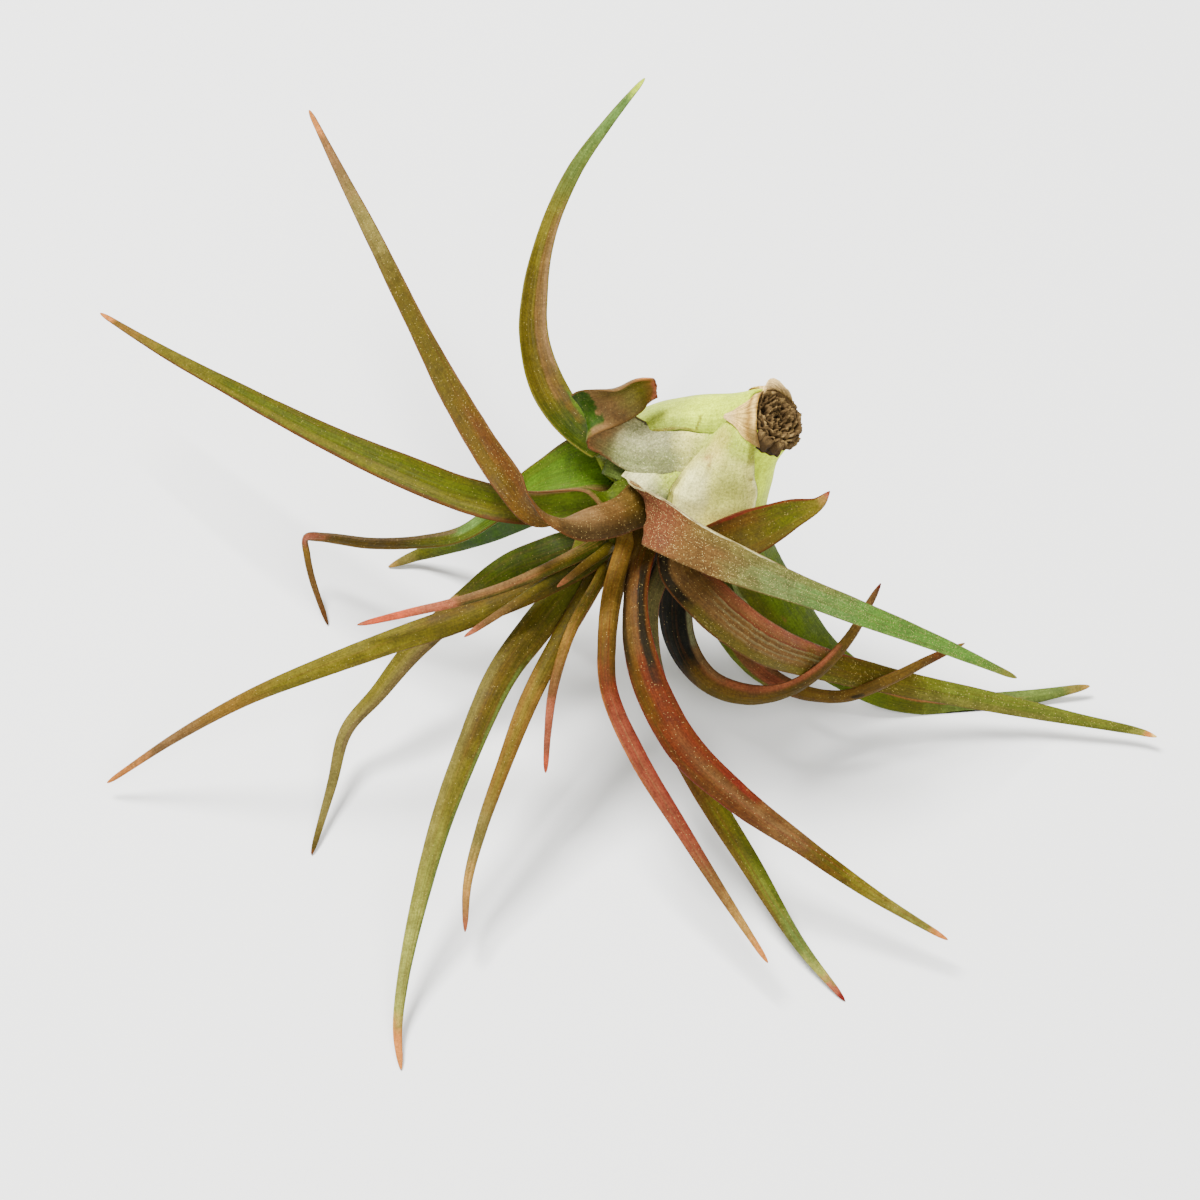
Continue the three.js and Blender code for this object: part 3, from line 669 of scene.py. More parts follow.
@dataclass
class Leaf:
    """One leaf or sheath: rows on the stem, rows of the blade, and its finish.

    base rows are along, angle, radius and width; blade rows are across, up, height,
    width, face and curl, with no face at a crease, whose own angle stands in folds.
    """

    name: str
    slot: str
    base: tuple[tuple[float, ...], ...]
    blade: tuple[tuple[float | None, ...], ...]
    skin: LeafSkin
    folds: dict[int, float] = field(default_factory=dict)
    swells: tuple[Swell, ...] = ()
    seen_turned: bool = False
    blunt: bool = False
    torn: float = 0.0
    ruffle: float = 0.22
    midrib: float = 1.15
    margin: float = 0.5
    side_points: int = 28
    spacing: float = 0.9

    @property
    def seed(self) -> float:
        """A number of the leaf's own, for its wander."""
        return 3.1 + 1.7 * sum(ord(letter) * (place + 1) for place, letter in enumerate(self.name)) % 97

    def rows(self) -> dict[str, np.ndarray]:
        """Works out the rows' middles, width directions, widths, curls and slants.

        Returns:
            Arrays with one entry per row.
        """
        points = [STEM.point(a, angle, radius) for a, angle, radius, _ in self.base]
        ways: list[np.ndarray | None] = [np.cross(STEM.radial(angle), STEM.axis) for _, angle, _, _ in self.base]
        widths = [row[3] for row in (*self.base, *self.blade)]
        curls = [width / radius for _, _, radius, width in self.base]
        points += [SIGHT.place(row[0], row[1], row[2]) for row in self.blade]
        curls += [math.radians(row[5]) for row in self.blade]
        slants = np.zeros(len(points))
        for number, row in enumerate(self.blade):
            i = len(self.base) + number
            if number in self.folds:
                turn = math.radians(self.folds[number])
                slants[i] = 1.0
                ways.append(np.array((math.cos(turn), 0.0, 0.0)) + SIGHT.up * math.sin(turn))
                continue
            along = unit(points[min(i + 1, len(points) - 1)] - points[max(i - 1, 0)])
            right = unit(np.cross(along, unit(SIGHT.eye - points[i])))
            turn = math.radians(row[4])
            ways.append(right * math.cos(turn) - np.cross(right, along) * math.sin(turn))
        return {
            "points": np.array(points),
            "ways": np.array(ways),
            "widths": np.array(widths, float),
            "curls": np.array(curls, float),
            "slants": slants,
        }

    def stations(self, points: np.ndarray) -> np.ndarray:
        """Row numbers, with fractions, of the rings along the leaf."""
        last = len(points) - 1
        places: list[float] = []
        for i in range(last):
            steps = max(2, round(float(np.linalg.norm(points[i + 1] - points[i])) / self.spacing))
            places += [i + step / steps for step in range(steps)]
        first_gap, last_gap = places[1], last - places[-1]
        near = (0.06, 0.18, 0.4, 0.7)
        places += [share * first_gap for share in near] + [last - share * last_gap for share in near] + [last]
        return np.array(sorted(places))

    def rings(self) -> tuple[np.ndarray, dict[str, np.ndarray], float]:
        """Lays the closed section of the leaf round its midrib.

        Returns:
            The rings, the numbers that materials read, and the leaf's length.
        """
        rows = self.rows()
        places = self.stations(rows["points"])
        last = len(rows["points"]) - 1
        spine = Spine(rows["points"])
        middle = spine.at(places / last)
        along = spine.heading(places / last)
        knots = np.concatenate(([0.0], np.cumsum(np.linalg.norm(np.diff(rows["points"], axis=0), axis=1))))
        at = np.interp(places, np.arange(last + 1), knots)
        length = knots[-1]
        slant = eased(rows["slants"], knots, at)[:, None]
        ways = turned_through(rows["ways"], places)
        ways = unit(ways + (slant - 1) * (ways * along).sum(1, keepdims=True) * along)
        inward = unit(np.cross(ways, along))
        width = eased(rows["widths"], knots, at)
        curl = eased(rows["curls"], knots, at)
        if not self.blunt:
            ease = np.clip((at - (length - 3.2)) / 3.2, 0.0, 1.0)
            width = width * np.sqrt(np.maximum(1.0 - ease**2, 0.0))
        rim = np.sqrt(np.clip(1 - (1 - np.clip(np.minimum(at, length - at) / 0.5, 0, 1)) ** 2, 0, 1))
        even = np.linspace(-1.0, 1.0, self.side_points + 1)
        offset = 0.5 * even + 0.5 * np.sin(even * math.pi / 2)
        offsets = np.concatenate((offset, offset[-2::-1]))
        sides = np.concatenate((np.ones(self.side_points + 1), -np.ones(self.side_points)))
        cap = np.sqrt(np.maximum(1 - np.abs(offsets) ** 7, 0.0))
        thick = self.midrib + (self.margin - self.midrib) * np.abs(offsets)
        half = np.minimum(thick[None, :], 0.1 + 0.4 * width[:, None]) / 2 * cap[None, :] * rim[:, None]
        waver = [wander(at * 0.11, self.seed), wander(at * 0.11, self.seed + 40)]
        lean = np.where(offsets[None, :] < 0, waver[0][:, None], waver[1][:, None])
        reach = offsets[None, :] * (1 + 0.07 * lean * np.abs(offsets[None, :]) ** 2)
        angle = reach * curl[:, None] / 2
        radius = np.maximum(width, 1e-4) / curl
        fine = wander_over(np.broadcast_to(at[:, None] * 0.25, angle.shape), np.broadcast_to(offsets[None, :] * 2.2, angle.shape), self.seed)
        small = np.clip(width / 5.0, 0.0, 1.0)[:, None]
        ruffle = self.ruffle * small * (0.45 * fine + np.abs(offsets[None, :]) ** 3 * lean)
        veins = 0.035 * small * np.cos(offsets[None, :] * 7 * math.pi) * (1 - offsets[None, :] ** 4)
        turned = -1.0 if self.seen_turned else 1.0
        row_number = places - len(self.base)
        lift = sides[None, :] * (half + veins * cap[None, :] * rim[:, None]) + ruffle
        for swell in self.swells:
            over = np.exp(-(((offsets * turned - swell.across) / swell.reach) ** 2))
            beside = np.exp(-(((row_number - swell.row) / swell.run) ** 2))
            lift = lift - swell.height * beside[:, None] * over[None, :]
        outward = inward[:, None, :] * np.cos(angle)[..., None] - ways[:, None, :] * np.sin(angle)[..., None]
        ring = (
            middle[:, None, :]
            + ways[:, None, :] * (radius[:, None] * np.sin(angle))[..., None]
            + inward[:, None, :] * (radius[:, None] * (1 - np.cos(angle)))[..., None]
            + outward * lift[..., None]
        )
        if self.torn:
            near_end = np.clip((at - (length - 3 * self.torn)) / (3 * self.torn), 0, 1)[:, None]
            jag = wander(offsets * 3.1, self.seed + 7) + 0.6 * wander(offsets * 9.0, self.seed + 9)
            ring = ring + along[:, None, :] * (near_end * self.torn * jag[None, :])[..., None]
        shape = angle.shape
        values = {
            "across": np.broadcast_to(offsets[None, :] * turned, shape),
            "row": np.broadcast_to(row_number[:, None], shape),
            "under": np.broadcast_to((sides[None, :] < 0).astype(float), shape),
        }
        return ring, values, float(length)

    def build(self) -> bpy.types.Object:
        """Makes the leaf and dresses it."""
        ring, values, length = self.rings()
        piece = lofted(f"{self.name}_skin", ring, values)
        last_row = len(self.blade) - 1
        material = self.skin.material(f"{self.name}_finish", -len(self.base), last_row, length)
        return dressed(piece, material, self.slot, self.name)


# Stem and stub


@dataclass
class Turned:
    """A body turned on the stem's line, with a slightly uneven surface."""

    name: str
    node: str
    slot: str
    profile: tuple[tuple[float, float], ...]
    skin: DrySkin
    sides: int = 72
    unevenness: float = 0.12

    def build(self) -> bpy.types.Object:
        """Makes the body and dresses it."""
        rows = np.array([(along, radius) for along, radius in self.profile], float)
        knots = np.arange(len(rows), dtype=float)
        at = np.linspace(0, len(rows) - 1, 10 * (len(rows) - 1) + 1)
        along, radius = (np.interp(at, knots, rows[:, k]) for k in (0, 1))
        turns = np.linspace(0, 360, self.sides + 1)
        turns[-1] = 0.0
        radials = np.array([STEM.radial(turn) for turn in turns])
        rough = wander_over(along[:, None] * 0.6 + 0 * turns[None, :], 3 * np.cos(np.radians(turns))[None, :] + 0 * along[:, None], 5.0)
        reach = radius[:, None] * (1 + self.unevenness * 0.4 * rough) * (radius[:, None] > 1e-6)
        rings = STEM.root_end + STEM.axis * along[:, None, None] + radials[None, :, :] * reach[..., None]
        piece = lofted(self.name, rings, {})
        return dressed(piece, self.skin.material(f"{self.name}_finish"), self.slot, self.node)


@dataclass(frozen=True)
class Whorl:
    """One ring of torn scale ends on the root stub, or a few of them.

    foot_lean is how far the feet stand out, for ends that hang over the sheaths.
    """

    radius: float
    count: int
    rim_along: float
    sweep: float
    turn: float = 0.0
    step: float = 0.0
    foot_along: float = 0.8
    thickness: float = 0.9
    flare: float = 0.4
    jag: float = 0.5
    foot_lean: float = 0.0


@dataclass
class RootStub:
    """The cut, dry end of the stem: whorls of torn scale ends round a hollow."""

    whorls: tuple[Whorl, ...]
    skin: StubSkin
    around: int = 44
    section_points: int = 20

    def scale_end(self, whorl: Whorl, place: int, number: int) -> bpy.types.Object:
        """Makes one torn scale end.

        Args:
            whorl: Its ring.
            place: Its place in the ring.
            number: Its place in the stub, for its name and wander.

        Returns:
            The scale end, not yet dressed.
        """
        seed = 11.0 + 3.7 * number
        own = [noise.noise(Vector((0.7, 0.3 + 1.9 * k, seed))) for k in range(4)]
        step = whorl.step or 360.0 / whorl.count
        middle = whorl.turn + step * (place + 0.5 * own[0])
        sweep = whorl.sweep * (1 + 0.5 * own[1])
        share = np.linspace(0, 1, self.around + 1)
        turns = middle + sweep * (share - 0.5)
        section = np.linspace(0, 2 * math.pi, self.section_points + 1)
        section[-1] = 0.0
        cosines, sines = 5.2 * np.cos(np.radians(turns)), 5.2 * np.sin(np.radians(turns))
        coarse, sharp, bits = (
            np.array([noise.noise(Vector((k * c, k * s, seed + 5 * k))) for c, s in zip(cosines, sines)]) for k in (0.45, 1.3, 3.4)
        )
        ends = np.sqrt(np.clip(1 - np.abs(2 * share - 1) ** 5, 0, 1))
        rim = whorl.rim_along + 0.9 * own[2] + whorl.jag * (1.3 * coarse + 1.5 * sharp + 0.8 * bits)
        radius = whorl.radius * (1 + 0.12 * own[3]) + 0.5 * coarse + 0.22 * sharp
        up, out = (1 + np.cos(section)) / 2, np.sin(section)
        along = whorl.foot_along + (rim[:, None] - whorl.foot_along) * up[None, :] * (0.25 + 0.75 * ends[:, None])
        crumple = wander_over(np.broadcast_to(cosines[:, None], along.shape), 1.1 * along + sines[:, None], seed + 20)
        thick = whorl.thickness * (0.75 + 0.5 * sharp[:, None] + 0.5 * up[None, :] * (1 - up[None, :])) * ends[:, None]
        reach = radius[:, None] + whorl.flare * up[None, :] ** 2 + whorl.foot_lean * (1 - up[None, :])
        reach = np.maximum(reach + 0.5 * thick * out[None, :] + 0.34 * crumple, 0.1)
        radials = np.array([STEM.radial(turn) for turn in turns])
        rings = STEM.root_end + STEM.axis * along[..., None] + radials[:, None, :] * reach[..., None]
        rise = np.broadcast_to(up[None, :], along.shape) + 0.35 * crumple
        return lofted(f"root_scale_{number:02d}", rings, {"rise": rise})

    def build(self) -> bpy.types.Object:
        """Makes the stub and dresses it."""
        ends = [(whorl, place) for whorl in self.whorls for place in range(whorl.count)]
        pieces = [self.scale_end(whorl, place, number) for number, (whorl, place) in enumerate(ends)]
        bpy.ops.object.select_all(action="DESELECT")
        for piece in pieces:
            piece.select_set(True)
        bpy.context.view_layer.objects.active = pieces[0]
        bpy.ops.object.join()
        piece = bpy.context.object
        piece.name = piece.data.name = "root_stub_layers"
        return dressed(piece, self.skin.material("root_stub_layers_finish"), "stub", "root_stub")


# Surroundings


@dataclass(frozen=True)
class Studio:
    """Pale floor, soft light and the camera."""

    floor_size: float = 6.0
    camera_lens: float = 135.0
    camera_place: tuple[float, float, float] = (-0.0042686, -0.505187, 0.737237)
    camera_tilt: float = 35.0

    def floor(self) -> None:
        """Lays the pale floor."""
        bpy.ops.object.select_all(action="DESELECT")
        bpy.ops.mesh.primitive_plane_add(size=self.floor_size, location=(0, 0, -0.0002))
        floor = bpy.context.object
        floor.name = "floor"
        bench = Bench("floor_paper")
        bench.shader.inputs["Base Color"].default_value = (0.95, 0.95, 0.93, 1.0)
        bench.shader.inputs["Roughness"].default_value = 0.9
        bench.shader.inputs["Specular IOR Level"].default_value = 0.1
        floor.data.materials.append(bench.material)

    @staticmethod
    def lamp(name: str, place: tuple[float, float, float], size: float, power: float) -> None:
        """Hangs a square soft light that points at the plant.

        Args:
            name: Name of the light.
            place: Where it hangs, in metres.
            size: Side of the square.
            power: Watts.
        """
        light = bpy.data.lights.new(name, "AREA")
        light.shape = "SQUARE"
        light.size = size
        light.energy = power
        lamp = bpy.data.objects.new(name, light)
        bpy.context.scene.collection.objects.link(lamp)
        lamp.location = place
        lamp.rotation_euler = (Vector((0, 0, 0.03)) - Vector(place)).to_track_quat("-Z", "Y").to_euler()

    def light(self) -> None:
        """Lights the floor from the upper left and softly from all round."""
        self.lamp("window_light", (-0.5, 0.4, 1.5), 0.5, 74.0)
        self.lamp("front_light", (0.35, -1.1, 1.5), 1.2, 36.0)
        world = bpy.data.worlds.new("pale_room")
        world.use_nodes = True
        back = world.node_tree.nodes["Background"]
        back.inputs["Color"].default_value = (1.0, 1.0, 1.0, 1.0)
        back.inputs["Strength"].default_value = 0.42
        bpy.context.scene.world = world

    def camera(self) -> None:
        """Sets the camera at the photograph's viewing angle."""
        data = bpy.data.cameras.new("camera")
        data.lens = self.camera_lens
        data.sensor_width = 36.0
        data.clip_start = 0.01
        camera = bpy.data.objects.new("camera", data)
        camera.location = self.camera_place
        camera.rotation_euler = (math.radians(self.camera_tilt), 0.0, 0.0)
        bpy.context.scene.collection.objects.link(camera)
        bpy.context.scene.camera = camera


# The plant

T = Tone
GREEN_BACK = ((-6, T.PALE_GREEN), (-1, T.GREY_GREEN), (3, T.GREY_GREEN), (9, T.OLIVE_YELLOW))
GREEN_LAP = ((-6, T.PALE_GREEN), (-1, T.LEAF_GREEN), (3, T.OLIVE), (9, T.OLIVE_YELLOW))

LEAVES = (
    Leaf(
        name="leaf_09",
        slot="leaf_scurfy",
        base=((0.9, 26, 6.5, 7.6), (5, 11, 8.2, 10.5), (10, -10, 10.5, 14), (15, -28, 13, 18), (20, -38, 15.4, 17)),
        folds={0: -44},
        blade=(
            (24.6, 11.8, 58, 10, None, 80),
            (31, 14, 60, 8.8, 6, 50),
            (37.9, 17.1, 60.5, 6, 5, 50),
            (43.4, 19.1, 60.5, 2.7, 0, 50),
            (46, 21.8, 60.5, 0.9, 0, 40),
        ),
        skin=LeafSkin(
            inner=((-5, T.PALE_GREEN), (-1, T.LEAF_GREEN), (0, T.UMBER), (0.9, T.OLIVE), (2.0, T.OLIVE_GREEN), (2.9, T.OLIVE_YELLOW), (3.3, T.TAN), (3.7, T.ROSE), (4, T.CRIMSON)),
            outer=((-5, T.LIME), (-4.0, T.PALE_GREEN), (-3.1, T.CREAM), (-1.6, T.CREAM), (-0.6, T.SCURF), (0.1, T.ROSE), (1, T.ROSE_BROWN), (4, T.OLIVE)),
            rim=T.RED_BROWN,
            rim_from=-0.2,
            film=0.02,
            glint_share=0.15,
            veins=0.3,
            meal=0.5,
            streaks=(
                Streak(T.RED_BROWN, (-1.1, -0.3), (0.2, 1.3), 0.5, Face.INNER, 0.5),
                Streak(T.CRIMSON, (-1.1, -0.86), (0.2, 3.8), 0.9, Face.INNER, 0.1),
                Streak(T.PALE_GREEN, (-0.1, 0.7), (-3.3, -1.8), 0.35, Face.OUTER, 0.6, 0.6),
                Streak(T.STRAW, (-0.6, 0.0), (-4.3, -3.2), 0.4, Face.OUTER, 0.4, 0.6),
                Streak(T.SCURF, (-0.75, -0.2), (-2.9, -1.3), 0.5, Face.OUTER, 0.3, 0.6),
                # The olive patch on the right margin below the stub is painted shadow of the stub.
                Streak(T.OLIVE_YELLOW, (0.72, 1.2), (-4.8, -3.4), 0.65, Face.OUTER, 0.14, 0.4),
                # The darker green along the left margin is painted shade in the crease there.
                Streak(T.OLIVE_GREEN, (-1.2, -0.86), (-2.6, -1.5), 0.75, Face.OUTER, 0.12, 0.4),
                Streak(T.ROSE, (-0.52, -0.3), (-3.34, -3.1), 0.5, Face.OUTER, 0.16, 0.14),
                Streak(T.OCHRE, (0.8, 0.96), (-3.04, -2.84), 0.6, Face.OUTER, 0.14, 0.14),
                Streak(T.SCURF, (0.92, 1.1), (-3.3, -1.2), 0.5, Face.OUTER, 0.08),
            ),
        ),
        swells=(Swell(-0.56, -2.2, 1.0, 0.28, 0.6), Swell(0.15, -2.2, -0.7, 0.34, 0.5), Swell(-1.0, -3.5, -1.2, 0.3, 1.1)),
    ),
    Leaf(
        name="sheath_top",
        slot="sheath",
        base=((0.4, 82, 6, 13), (7, 82, 8.4, 15), (14, 83, 11.8, 15), (21, 77, 14.8, 12), (26.5, 66, 17.2, 5)),
        blade=(),
        blunt=True,
        torn=0.5,
        seen_turned=True,
        skin=LeafSkin(
            inner=((-5, T.PALE_GREEN), (-1, T.LEAF_GREEN)),
            outer=((-5, T.LIME), (-3.5, T.LIME), (-2.7, T.PALE_GREEN), (-1, T.PALE_GREEN)),
            rim=T.GREY_GREEN,
            rim_from=-6,
            rim_share=0.02,
            film=0.02,
            veins=0.3,
            meal=0.25,
            streaks=(
                Streak(T.GREY_GREEN, (-1.2, -0.66), (-4.5, -1.0), 0.5, Face.OUTER, 0.35),
                Streak(T.ROSE_BROWN, (-1.1, -0.9), (-3.6, -1.0), 0.7, Face.OUTER, 0.1),
                Streak(T.BROWN, (-0.95, -0.5), (-3.66, -3.56), 0.6, Face.OUTER, 0.1, 0.06),
                Streak(T.GLAUCOUS, (-0.5, 0.2), (-2.4, -1.4), 0.3, Face.OUTER, 0.5),
            ),
        ),
        swells=(Swell(-0.2, -2.6, 0.5, 0.5, 1.2),),
    ),
    Leaf(
        name="leaf_04",
        slot="leaf_scurfy",
        base=((2, 26, 5.4, 12), (9, 31, 8.2, 14), (16, 41, 11.8, 12.4), (21, 43, 14.6, 11)),
        folds={1: -69},
        blade=(
            (3.4, 33, 63, 10.4, 180, 70),
            (-2.8, 37.0, 66.5, 9.8, None, 90),
            (4, 41, 69.5, 11, 48, 120),
            (8, 42.8, 71, 8.8, 45, 125),
            (11.3, 43, 71.6, 5, 35, 120),
        ),
        blunt=True,
        torn=0.25,
        skin=LeafSkin(
            inner=((-4, T.PALE_GREEN), (-1, T.BRIGHT_GREEN), (0.9, T.BRIGHT_GREEN), (1.15, T.PINK_GREY), (1.7, T.PINK_GREY), (2.3, T.KHAKI), (3.0, T.OLIVE_YELLOW), (3.6, T.OCHRE), (3.9, T.ROSE), (4, T.CRIMSON)),
            outer=((-4, T.PALE_GREEN), (-3.2, T.PALE_GREEN), (-2.4, T.CREAM), (-1.8, T.SILVER), (-0.4, T.SILVER), (0.4, T.PINK_GREY), (2.8, T.PINK_GREY), (3.6, T.SALMON), (4, T.CRIMSON)),
            rim=T.ROSE_BROWN,
            film=0.15,
            glint_share=0.2,
            veins=0.3,
            meal=0.8,
            streaks=(
                Streak(T.OLIVE_DARK, (-0.9, -0.1), (1.6, 3.4), 0.45, Face.INNER, 0.5),
                Streak(T.FOREST, (-1.2, 0.7), (0.8, 1.42), 1.0, Face.INNER, 0.25, 0.1),
                Streak(T.SALMON, (-1.2, -0.8), (2.9, 3.9), 0.7, Face.BOTH, 0.12, 0.3),
                Streak(T.ROSE, (0.85, 1.1), (-0.3, 0.8), 0.6, Face.OUTER, 0.12),
                Streak(T.ROSE, (-1.1, 1.1), (0.7, 1.1), 0.6, Face.OUTER, 0.12, 0.3),
                # The grey-green on the lower side of the sheath is painted shade.
                Streak(T.GREY_GREEN, (0.3, 1.0), (-3.0, 0.2), 0.5, Face.OUTER, 0.7),
                # The near-black strip at the left margin by the fold is painted shade in the gap there.
                Streak(T.CHARCOAL, (-1.1, -0.84), (-0.8, 0.1), 0.9, Face.BOTH, 0.08, 0.15),
            ),
        ),
        swells=(Swell(0.0, -0.9, 0.8, 0.5, 1.3),),
    ),
    Leaf(
        name="leaf_11",
        slot="leaf_green",
        base=((0.7, -78, 5.1, 17), (7, -80, 6.1, 17), (14, -86, 9.7, 17), (21, -90, 14, 14)),
        blade=(
            (31.6, 7.1, 37, 12.6, 150, 60),
            (37.5, -2.9, 25, 12, 160, 50),
            (46.2, -12.2, 12.5, 8, 170, 50),
            (58, -19, 4, 6, 175, 50),
            (72, -20.8, 0.5, 4.6, 180, 50),
            (86, -19.4, 1.2, 3, 180, 50),
            (98, -17.2, 2.6, 1.2, 180, 40),
        ),
        seen_turned=True,
        skin=LeafSkin(
            inner=GREEN_LAP[:-1] + ((6, T.OLIVE_YELLOW),),
            outer=((-4, T.LIME), (-2.6, T.LIME), (-1.4, T.PALE_GREEN), (-0.6, T.MOSS), (2.4, T.MOSS), (3.3, T.OLIVE_GREEN), (4.1, T.GREY_GREEN), (5.4, T.GREY_GREEN), (6, T.TAN)),
            rim=T.GREY_GREEN,
            blush=0.1,
            film=0.0,
            glint_share=0.1,
            streaks=(
                Streak(T.ROSE, (-0.06, 0.02), (2.6, 5.0), 0.6, Face.OUTER, 0.08),
                Streak(T.OLIVE, (0.35, 0.9), (-0.2, 1.4), 0.6, Face.OUTER, 0.4),
                Streak(T.SILVER, (0.86, 1.2), (0.1, 1.6), 0.7, Face.OUTER, 0.1),
                Streak(T.OCHRE, (0.14, 0.26), (0.92, 1.04), 0.8, Face.OUTER, 0.12, 0.12),
            ),
        ),
    ),
    Leaf(
        name="leaf_06",
        slot="leaf_scurfy",
        base=((8, 12, 7, 12), (13, 14, 9.4, 15), (18, 13, 12, 15), (22.5, 9, 14.6, 14)),
        folds={0: -77},
        blade=(
            (9.6, 18.2, 59, 12, None, 90),
            (14.4, 13.6, 61, 9.6, 10, 50),
            (26, 7.7, 58.5, 7.6, 6, 30),
            (40, 2.1, 51, 5.5, 4, 30),
            (54, -3.4, 40.5, 4.6, 4, 30),
            (68, -8.9, 28, 3.1, 4, 30),
            (83.4, -15.6, 14, 1, 4, 30),
        ),
        skin=LeafSkin(
            inner=((-4, T.PALE_GREEN), (-1, T.RUSSET), (0.8, T.RUSSET), (1.2, T.ROSE_BROWN), (1.7, T.ROSE_BROWN), (2.7, T.FROST), (3.4, T.GLAUCOUS), (4.2, T.FRESH_GREEN), (5.4, T.FRESH_GREEN), (6, T.TIP_YELLOW)),
            outer=((-4, T.PALE_GREEN), (-2.0, T.PALE_GREEN), (-0.8, T.SILVER), (-0.2, T.PINK_GREY), (3, T.GREY_GREEN), (6, T.GLAUCOUS)),
            rim=T.ROSE_BROWN,
            rim_share=0.03,
            rim_from=-0.2,
            film=0.04,
            glint_share=0.9,
            meal=0.7,
            streaks=(
                Streak(T.BRICK, (-0.9, 1.0), (0.1, 1.2), 0.4, Face.INNER, 0.3),
                Streak(T.KHAKI, (-1.2, -0.4), (1.4, 3.6), 0.5, Face.INNER, 0.5),
                # The thin pale line along the margin at across -1 is a painted highlight where light catches that
                # margin.
                Streak(T.SCURF, (-1.1, -0.94), (-0.9, 2.6), 0.9, Face.BOTH, 0.06),
                Streak(T.SCURF, (-0.9, -0.2), (-1.6, -0.3), 0.6, Face.OUTER, 0.5),
                Streak(T.GREY_GREEN, (0.3, 0.9), (-2.2, -0.5), 0.7, Face.OUTER, 0.4),
            ),
        ),
        swells=(Swell(-0.45, -0.9, 0.7, 0.4, 1.1), Swell(0.58, -0.9, -0.9, 0.2, 1.1)),
    ),
    Leaf(
        name="leaf_08",
        slot="leaf_green",
        base=((9, 128, 6.4, 12), (16, 120, 9.6, 15), (24, 108, 12.8, 13)),
        blade=(
            (-8, 21, 38, 7, 200, 50),
            (-15, 17.4, 28, 6, 190, 50),
            (-22, 13.9, 18, 4.8, 185, 50),
            (-30, 11, 8.5, 3.6, 180, 50),
            (-37, 8.8, 2.6, 2.3, 180, 40),
            (-42.4, 6.6, 0.1, 0.9, 180, 40),
        ),
        seen_turned=True,
        skin=LeafSkin(
            inner=GREEN_LAP[:-1] + ((5, T.OLIVE_YELLOW),),
            outer=((-3, T.PALE_GREEN), (-1, T.LEAF_GREEN), (0.6, T.FOREST), (2.3, T.FOREST), (3, T.LEAF_GREEN), (3.7, T.OLIVE_GREEN), (4.4, T.KHAKI), (5, T.TAN)),
            rim=T.LEAF_GREEN,
            blush=0.1,
            film=0.0,
            glint_share=0.1,
        ),
    ),
    Leaf(
        name="leaf_03",
        slot="leaf_olive",
        base=((10, 54, 6.6, 12), (16, 51, 9.2, 14), (22, 48, 12, 13), (27, 46, 14, 10)),
        blade=(
            (-3.6, 33, 58, 8, 30, 80),
            (-9.8, 40.8, 60, 7.9, 20, 70),
            (-13.2, 51, 63, 6.4, 15, 70),
            (-13.2, 61, 65, 5.3, 10, 60),
            (-10.7, 73.1, 67, 3.8, 5, 60),
            (-5.5, 85.3, 69, 3.1, 5, 50),
            (1.8, 95.7, 70, 2.1, 5, 50),
            (9, 104.4, 70.5, 0.9, 5, 40),
        ),
        skin=LeafSkin(
            inner=((-4, T.DARK_MOSS), (0.2, T.DARK_MOSS), (1.3, T.OLIVE), (3.2, T.OLIVE), (4.2, T.OLIVE_YELLOW), (5.0, T.GREY_GREEN), (6.4, T.GLAUCOUS), (7, T.LIME)),
            outer=GREEN_BACK[:-1] + ((7, T.GLAUCOUS),),
            rim=T.OLIVE_YELLOW,
            film=0.03,
            streaks=(
                Streak(T.ROSE_BROWN, (0.1, 0.6), (0.8, 4.3), 0.8, Face.INNER),
                Streak(T.PINK_GREY, (0.6, 1.2), (1.4, 4.4), 0.9, Face.INNER),
                Streak(T.BROWN, (0.35, 0.7), (0.3, 1.6), 0.8, Face.INNER, 0.2),
                Streak(T.BRIGHT_GREEN, (0.75, 1.2), (-0.2, 0.9), 0.7, Face.INNER, 0.15, 0.3),
            ),
        ),
    ),
    Leaf(
        name="leaf_01",
        slot="leaf_olive",
        base=((12, 25, 6.6, 12), (18, 25, 9.2, 13), (24, 24, 12.2, 12), (28.5, 22, 15, 10)),
        blade=(
            (-4, 20.6, 53, 9, -35, 150),
            (-14, 19.2, 52.5, 8.4, -25, 120),
            (-26.2, 21, 51.5, 7.4, -8, 80),
            (-40.5, 26.2, 50, 6.6, 5, 60),
            (-56.3, 33.3, 47, 5.1, 8, 60),
            (-72.1, 41.5, 43.5, 3.6, 5, 50),
            (-87, 49.5, 39, 2.3, 5, 50),
            (-100, 57.4, 34, 0.9, 5, 40),
        ),
        skin=LeafSkin(
            inner=((-4, T.LEAF_GREEN), (0.5, T.MOSS), (1.3, T.OLIVE_GREEN), (5, T.OLIVE_GREEN), (6, T.OLIVE_YELLOW), (6.6, T.OCHRE), (7, T.SALMON)),
            outer=((-4, T.LEAF_GREEN), (-0.4, T.LEAF_GREEN), (0.4, T.PINK_GREY), (3, T.ROSE_BROWN), (7, T.TAN)),
            rim=T.RED_BROWN,
            film=0.02,
            streaks=(
                Streak(T.LEAF_GREEN, (-0.1, 0.6), (1.5, 5.2), 0.45, Face.INNER),
                Streak(T.OLIVE_YELLOW, (-0.65, -0.25), (0.8, 5.4), 0.5, Face.INNER),
                Streak(T.RED_BROWN, (-1.2, -0.8), (0.6, 6.4), 0.75, Face.INNER, 0.15),
                Streak(T.PINK_GREY, (-1.2, -0.85), (-0.4, 0.7), 0.8, Face.BOTH, 0.1),
                Streak(T.PINK_GREY, (0.7, 1.2), (-1.0, 1.1), 0.9),
            ),
        ),
    ),
    Leaf(
        name="leaf_02",
        slot="leaf_brown",
